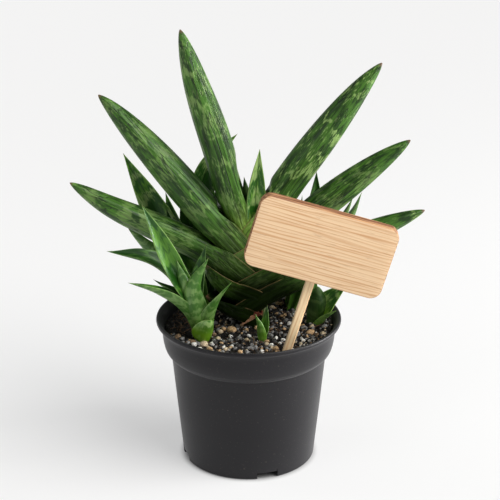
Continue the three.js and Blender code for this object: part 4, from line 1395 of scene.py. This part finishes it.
def wooden_block(name, block, own_shift, shift, grain, material, replaced):
    """Carries the outline from the back face over two rounded edges to the front face at z = 0.

    own_shift moves the block before it is tilted and shift after that. The rounding goes a quarter turn:
    the inset is bevel * (1 - sin t) behind and bevel * (1 - cos t) in front.
    """
    bevel, thick = block["bevel"], block["thick"]
    t = np.linspace(0, np.pi / 2, 6)
    inset = np.r_[bevel * (1 - np.sin(t)), bevel * (1 - np.cos(t))]
    depth = np.r_[-thick + bevel * (1 - np.cos(t)), -bevel * (1 - np.sin(t))]
    rings = [rounded_rectangle(block["width"], block["height"], block["corner"], step) for step in inset]
    flat = np.stack([np.c_[ring, np.full(len(ring), level)] for ring, level in zip(rings, depth)])
    side = smoothstep(np.minimum(-flat[..., 2], thick + flat[..., 2]), 0.0, 0.25 * bevel)
    angle = -np.radians(block["tilt"])
    spin = np.array([[np.cos(angle), -np.sin(angle), 0], [np.sin(angle), np.cos(angle), 0], [0, 0, 1]])
    turned = (flat + own_shift) @ spin.T + shift
    points = np.stack([turned[..., 0], -turned[..., 2], turned[..., 1]], -1) + LABEL_FOOT
    values = {"flat": flat[..., grain].reshape(-1, 3) * MM, "rim": side.ravel()}
    faces = ring_faces(len(flat), flat.shape[1])
    piece = make_piece(name, points, faces, material, [replaced], values)
    piece.data.set_sharp_from_angle(angle=np.radians(50))
    return piece


print("outline points:", len(rounded_rectangle(BOARD["width"], BOARD["height"], BOARD["corner"], 0)))

# %% [markdown]
# Oak has fine straight grain: slightly darker, warmer lines about two millimetres apart, and tiny dark
# pores. The lines are a sine of the place across the grain, so they stay nearly parallel, as noise alone
# would not, and a slow noise makes them wander. Streaks along the length let them fade in places and give
# the pores. The board's edge is a scorched reddish brown, and rim says how far a point lies on it.

# %% Make the wood
LINE_LENGTH = 0.00034


def wood(name, light, warm, dark, rim_tone):
    """The lines are (1 + sin(y / LINE_LENGTH + 16 * wander)) / 2, with y across the grain in metres.

    The wood's flat coordinates run along the grain first. layers puts that way last, as the groups want it.
    """
    material, tree, shader = new_material(name)
    flat, rim = attribute(tree, "flat", "Vector"), attribute(tree, "rim")
    parts = add(tree, "ShaderNodeSeparateXYZ", {0: flat}).outputs
    layers = add(tree, "ShaderNodeCombineXYZ", {0: parts[1], 1: parts[2], 2: parts[0]}).outputs[0]
    wander = noise(tree, scaled(tree, layers, (240.0, 240.0, 14.0)), detail=1.0)
    rows = math(tree, "MULTIPLY_ADD", wander, 16.0, math(tree, "DIVIDE", parts[1], LINE_LENGTH))
    rings = math(tree, "MULTIPLY_ADD", math(tree, "SINE", rows), 0.5, 0.5)
    fine = place_group(tree, STREAKS, Vector=layers, Across=560.0, Along=22.0)["Value"]
    dashes = place_group(tree, STREAKS, Vector=layers, Across=800.0, Along=90.0)["Value"]
    pores = ramp(tree, dashes, 0.6, 0.72)
    lines = math(tree, "MULTIPLY", ramp(tree, rings, 0.45, 1.0), ramp(tree, fine, 0.35, 0.65, 0.35, 0.95))
    tone = blend_colours(tree, lines, light, warm)
    tone = blend_colours(tree, ramp(tree, fine, 0.5, 0.7, 0.0, 0.35), tone, warm)
    tone = blend_colours(tree, math(tree, "MULTIPLY", pores, 0.25), tone, dark)
    rim_grain = blend_colours(tree, ramp(tree, fine, 0.35, 0.65), rim_tone, warm)
    tone = blend_colours(tree, rim, tone, rim_grain)
    tree.links.new(tone, shader["Base Color"])
    tree.links.new(ramp(tree, fine, 0.3, 0.7, 0.5, 0.68), shader["Roughness"])
    tree.links.new(bump(tree, math(tree, "SUBTRACT", rings, pores), 0.0001, 0.5), shader["Normal"])
    return material


OAK = wood(
    "bare_oak", light=colour(233, 203, 166), warm=colour(207, 163, 121), dark=colour(140, 92, 58),
    rim_tone=colour(112, 62, 42))
PALE_WOOD = wood(
    "pale_stick_wood", light=colour(240, 216, 176), warm=colour(224, 188, 144), dark=colour(170, 118, 76),
    rim_tone=colour(218, 196, 162))
print("materials:", OAK.name, PALE_WOOD.name)

# %% Build the board and its stick
board = wooden_block(
    "rounded_board", BOARD, np.zeros(3), BOARD_MIDDLE, GRAIN_ALONG_WIDTH, OAK, "label_board")
stick_behind = np.array([0.0, (STICK_UP - STICK_DOWN) / 2, -BOARD["thick"] - BOARD_STICK_GAP])
stick = wooden_block(
    "flat_stick", STICK, stick_behind, np.zeros(3), GRAIN_ALONG_HEIGHT, PALE_WOOD,
    "label_stick")
print("label:", board.name, stick.name)

# %% [markdown]
# ## The crowns
#
# The short stems that the leaves grow from hardly show between the leaf feet. A finer surface would be
# wasted on them. The plain solids have the right form, so they stay, and only get a pale fleshy material.

# %% Give the crowns their material
def crown_material():
    """Two soft greens in clouds that are drawn out upwards."""
    material, tree, shader = new_material("pale_crown")
    place = add(tree, "ShaderNodeTexCoord").outputs["Object"]
    cloud = noise(tree, scaled(tree, place, (300.0, 300.0, 90.0)), detail=3.0)
    flesh = blend_colours(tree, cloud, colour(74, 92, 44), colour(120, 128, 74))
    tree.links.new(flesh, shader["Base Color"])
    tree.links.new(ramp(tree, cloud, 0.3, 0.7, 0.5, 0.7), shader["Roughness"])
    tree.links.new(bump(tree, cloud, 0.0003, 0.6), shader["Normal"])
    return material


PALE_CROWN = crown_material()
crowns = [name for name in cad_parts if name.endswith("_crown")]
for name in crowns:
    bpy.data.objects[name].material_slots[0].material = PALE_CROWN
print("crowns:", crowns)

# %% [markdown]
# ## Floor and light
#
# The plant stands on a wide pale sheet. On it the shadow is pale, which plain paper under one lamp wouldn't
# give, so the sheet gets a painted glow that lifts its shadow: from just inside the pot's foot outwards,
# and a trace more far off. Under the pot it doesn't glow, which leaves a painted dark contact shadow there.
# The sheet lies a hair below the foot, so that the two faces don't fall into one.

# %% Lay the floor
FLOOR_RADIUS = 8.0
FLOOR_CORNERS = 96
FLOOR_LEVEL = -0.0002
NEAR_GLOW, NEAR_GLOW_RADII = 0.485, (0.0395, 0.047)
FAR_GLOW, FAR_GLOW_RADII = 0.04, (0.45, 1.4)

floor_mesh = bpy.data.meshes.new("floor")
turn = 2 * np.pi * np.arange(FLOOR_CORNERS) / FLOOR_CORNERS
level = np.full(FLOOR_CORNERS, FLOOR_LEVEL)
ring = np.stack([FLOOR_RADIUS * np.cos(turn), FLOOR_RADIUS * np.sin(turn), level], -1)
floor_mesh.from_pydata(ring.tolist(), [], [tuple(range(FLOOR_CORNERS))])
floor = bpy.data.objects.new("floor", floor_mesh)
bpy.context.scene.collection.objects.link(floor)

paper, paper_tree, paper_shader = new_material("pale_floor")
paper_shader["Base Color"].default_value = (0.4, 0.4, 0.4, 1.0)
paper_shader["Emission Color"].default_value = (1.0, 1.0, 1.0, 1.0)
paper_place = add(paper_tree, "ShaderNodeTexCoord").outputs["Object"]
paper_out = add(paper_tree, "ShaderNodeVectorMath", {0: paper_place}, operation="LENGTH").outputs["Value"]
# Painted light: the glow lifts the floor's shadow, and no glow under the pot paints a contact shadow.
near_glow = ramp(paper_tree, paper_out, *NEAR_GLOW_RADII, 0.0, NEAR_GLOW)
far_glow = ramp(paper_tree, paper_out, *FAR_GLOW_RADII, 0.0, FAR_GLOW)
paper_glow = math(paper_tree, "ADD", near_glow, far_glow)
paper_tree.links.new(paper_glow, paper_shader["Emission Strength"])
paper_shader["Roughness"].default_value = 0.8
paper_shader["Specular IOR Level"].default_value = 0.2
floor_mesh.materials.append(paper)
print("floor radius in m:", FLOOR_RADIUS)

# %% [markdown]
# A sun with a wide soft disk stands at the right, in front and above. It gives the form and throws the
# shadow to the left. A weak white room fills the shade. A low lamp at the right and a weaker one behind
# the left side draw a light edge along both sides of the pot, and a weak one at the front left lifts the
# dark leaves. The Standard view transform keeps the floor white, and a gamma a little under 1 deepens the
# dark tones.
#
# Each light is its name, its kind, its place, its size in metres or the sun's angle, its strength and
# colour.

# %% Set the lights
ROOM_COLOUR, ROOM_STRENGTH = (0.985, 0.99, 1.0, 1.0), 0.22
LIGHTS = [
    ("key", "SUN", (0.85, -0.5, 0.98), np.radians(50), 3.3, (1.0, 0.99, 0.975)),
    ("right edge", "AREA", (1.0, 0.1, 0.12), 0.7, 14.0, (1.0, 1.0, 1.0)),
    ("left edge", "AREA", (-1.1, 0.3, 0.5), 0.6, 1.6, (1.0, 1.0, 1.0)),
    ("front left fill", "AREA", (-0.9, -0.8, 0.8), 0.8, 2.5, (1.0, 1.0, 1.0)),
]
LIT_PLACE = Vector((0.0, 0.0, 0.1))

world = bpy.data.worlds.new("room")
world.use_nodes = True
room = world.node_tree.nodes["Background"].inputs
room["Color"].default_value = ROOM_COLOUR
room["Strength"].default_value = ROOM_STRENGTH
bpy.context.scene.world = world

for name, kind, place, size, strength, tint in LIGHTS:
    lamp_data = bpy.data.lights.new(name, kind)
    if kind == "SUN":
        lamp_data.angle = size
    else:
        lamp_data.shape = "DISK"
        lamp_data.size = size
    lamp_data.energy = strength
    lamp_data.color = tint
    lamp = bpy.data.objects.new(name, lamp_data)
    lamp.location = place
    lamp.rotation_euler = (LIT_PLACE - Vector(place)).to_track_quat("-Z", "Y").to_euler()
    bpy.context.scene.collection.objects.link(lamp)

bpy.context.scene.view_settings.view_transform = "Standard"
bpy.context.scene.view_settings.gamma = 0.9
print("lights:", [name for name, *_ in LIGHTS])
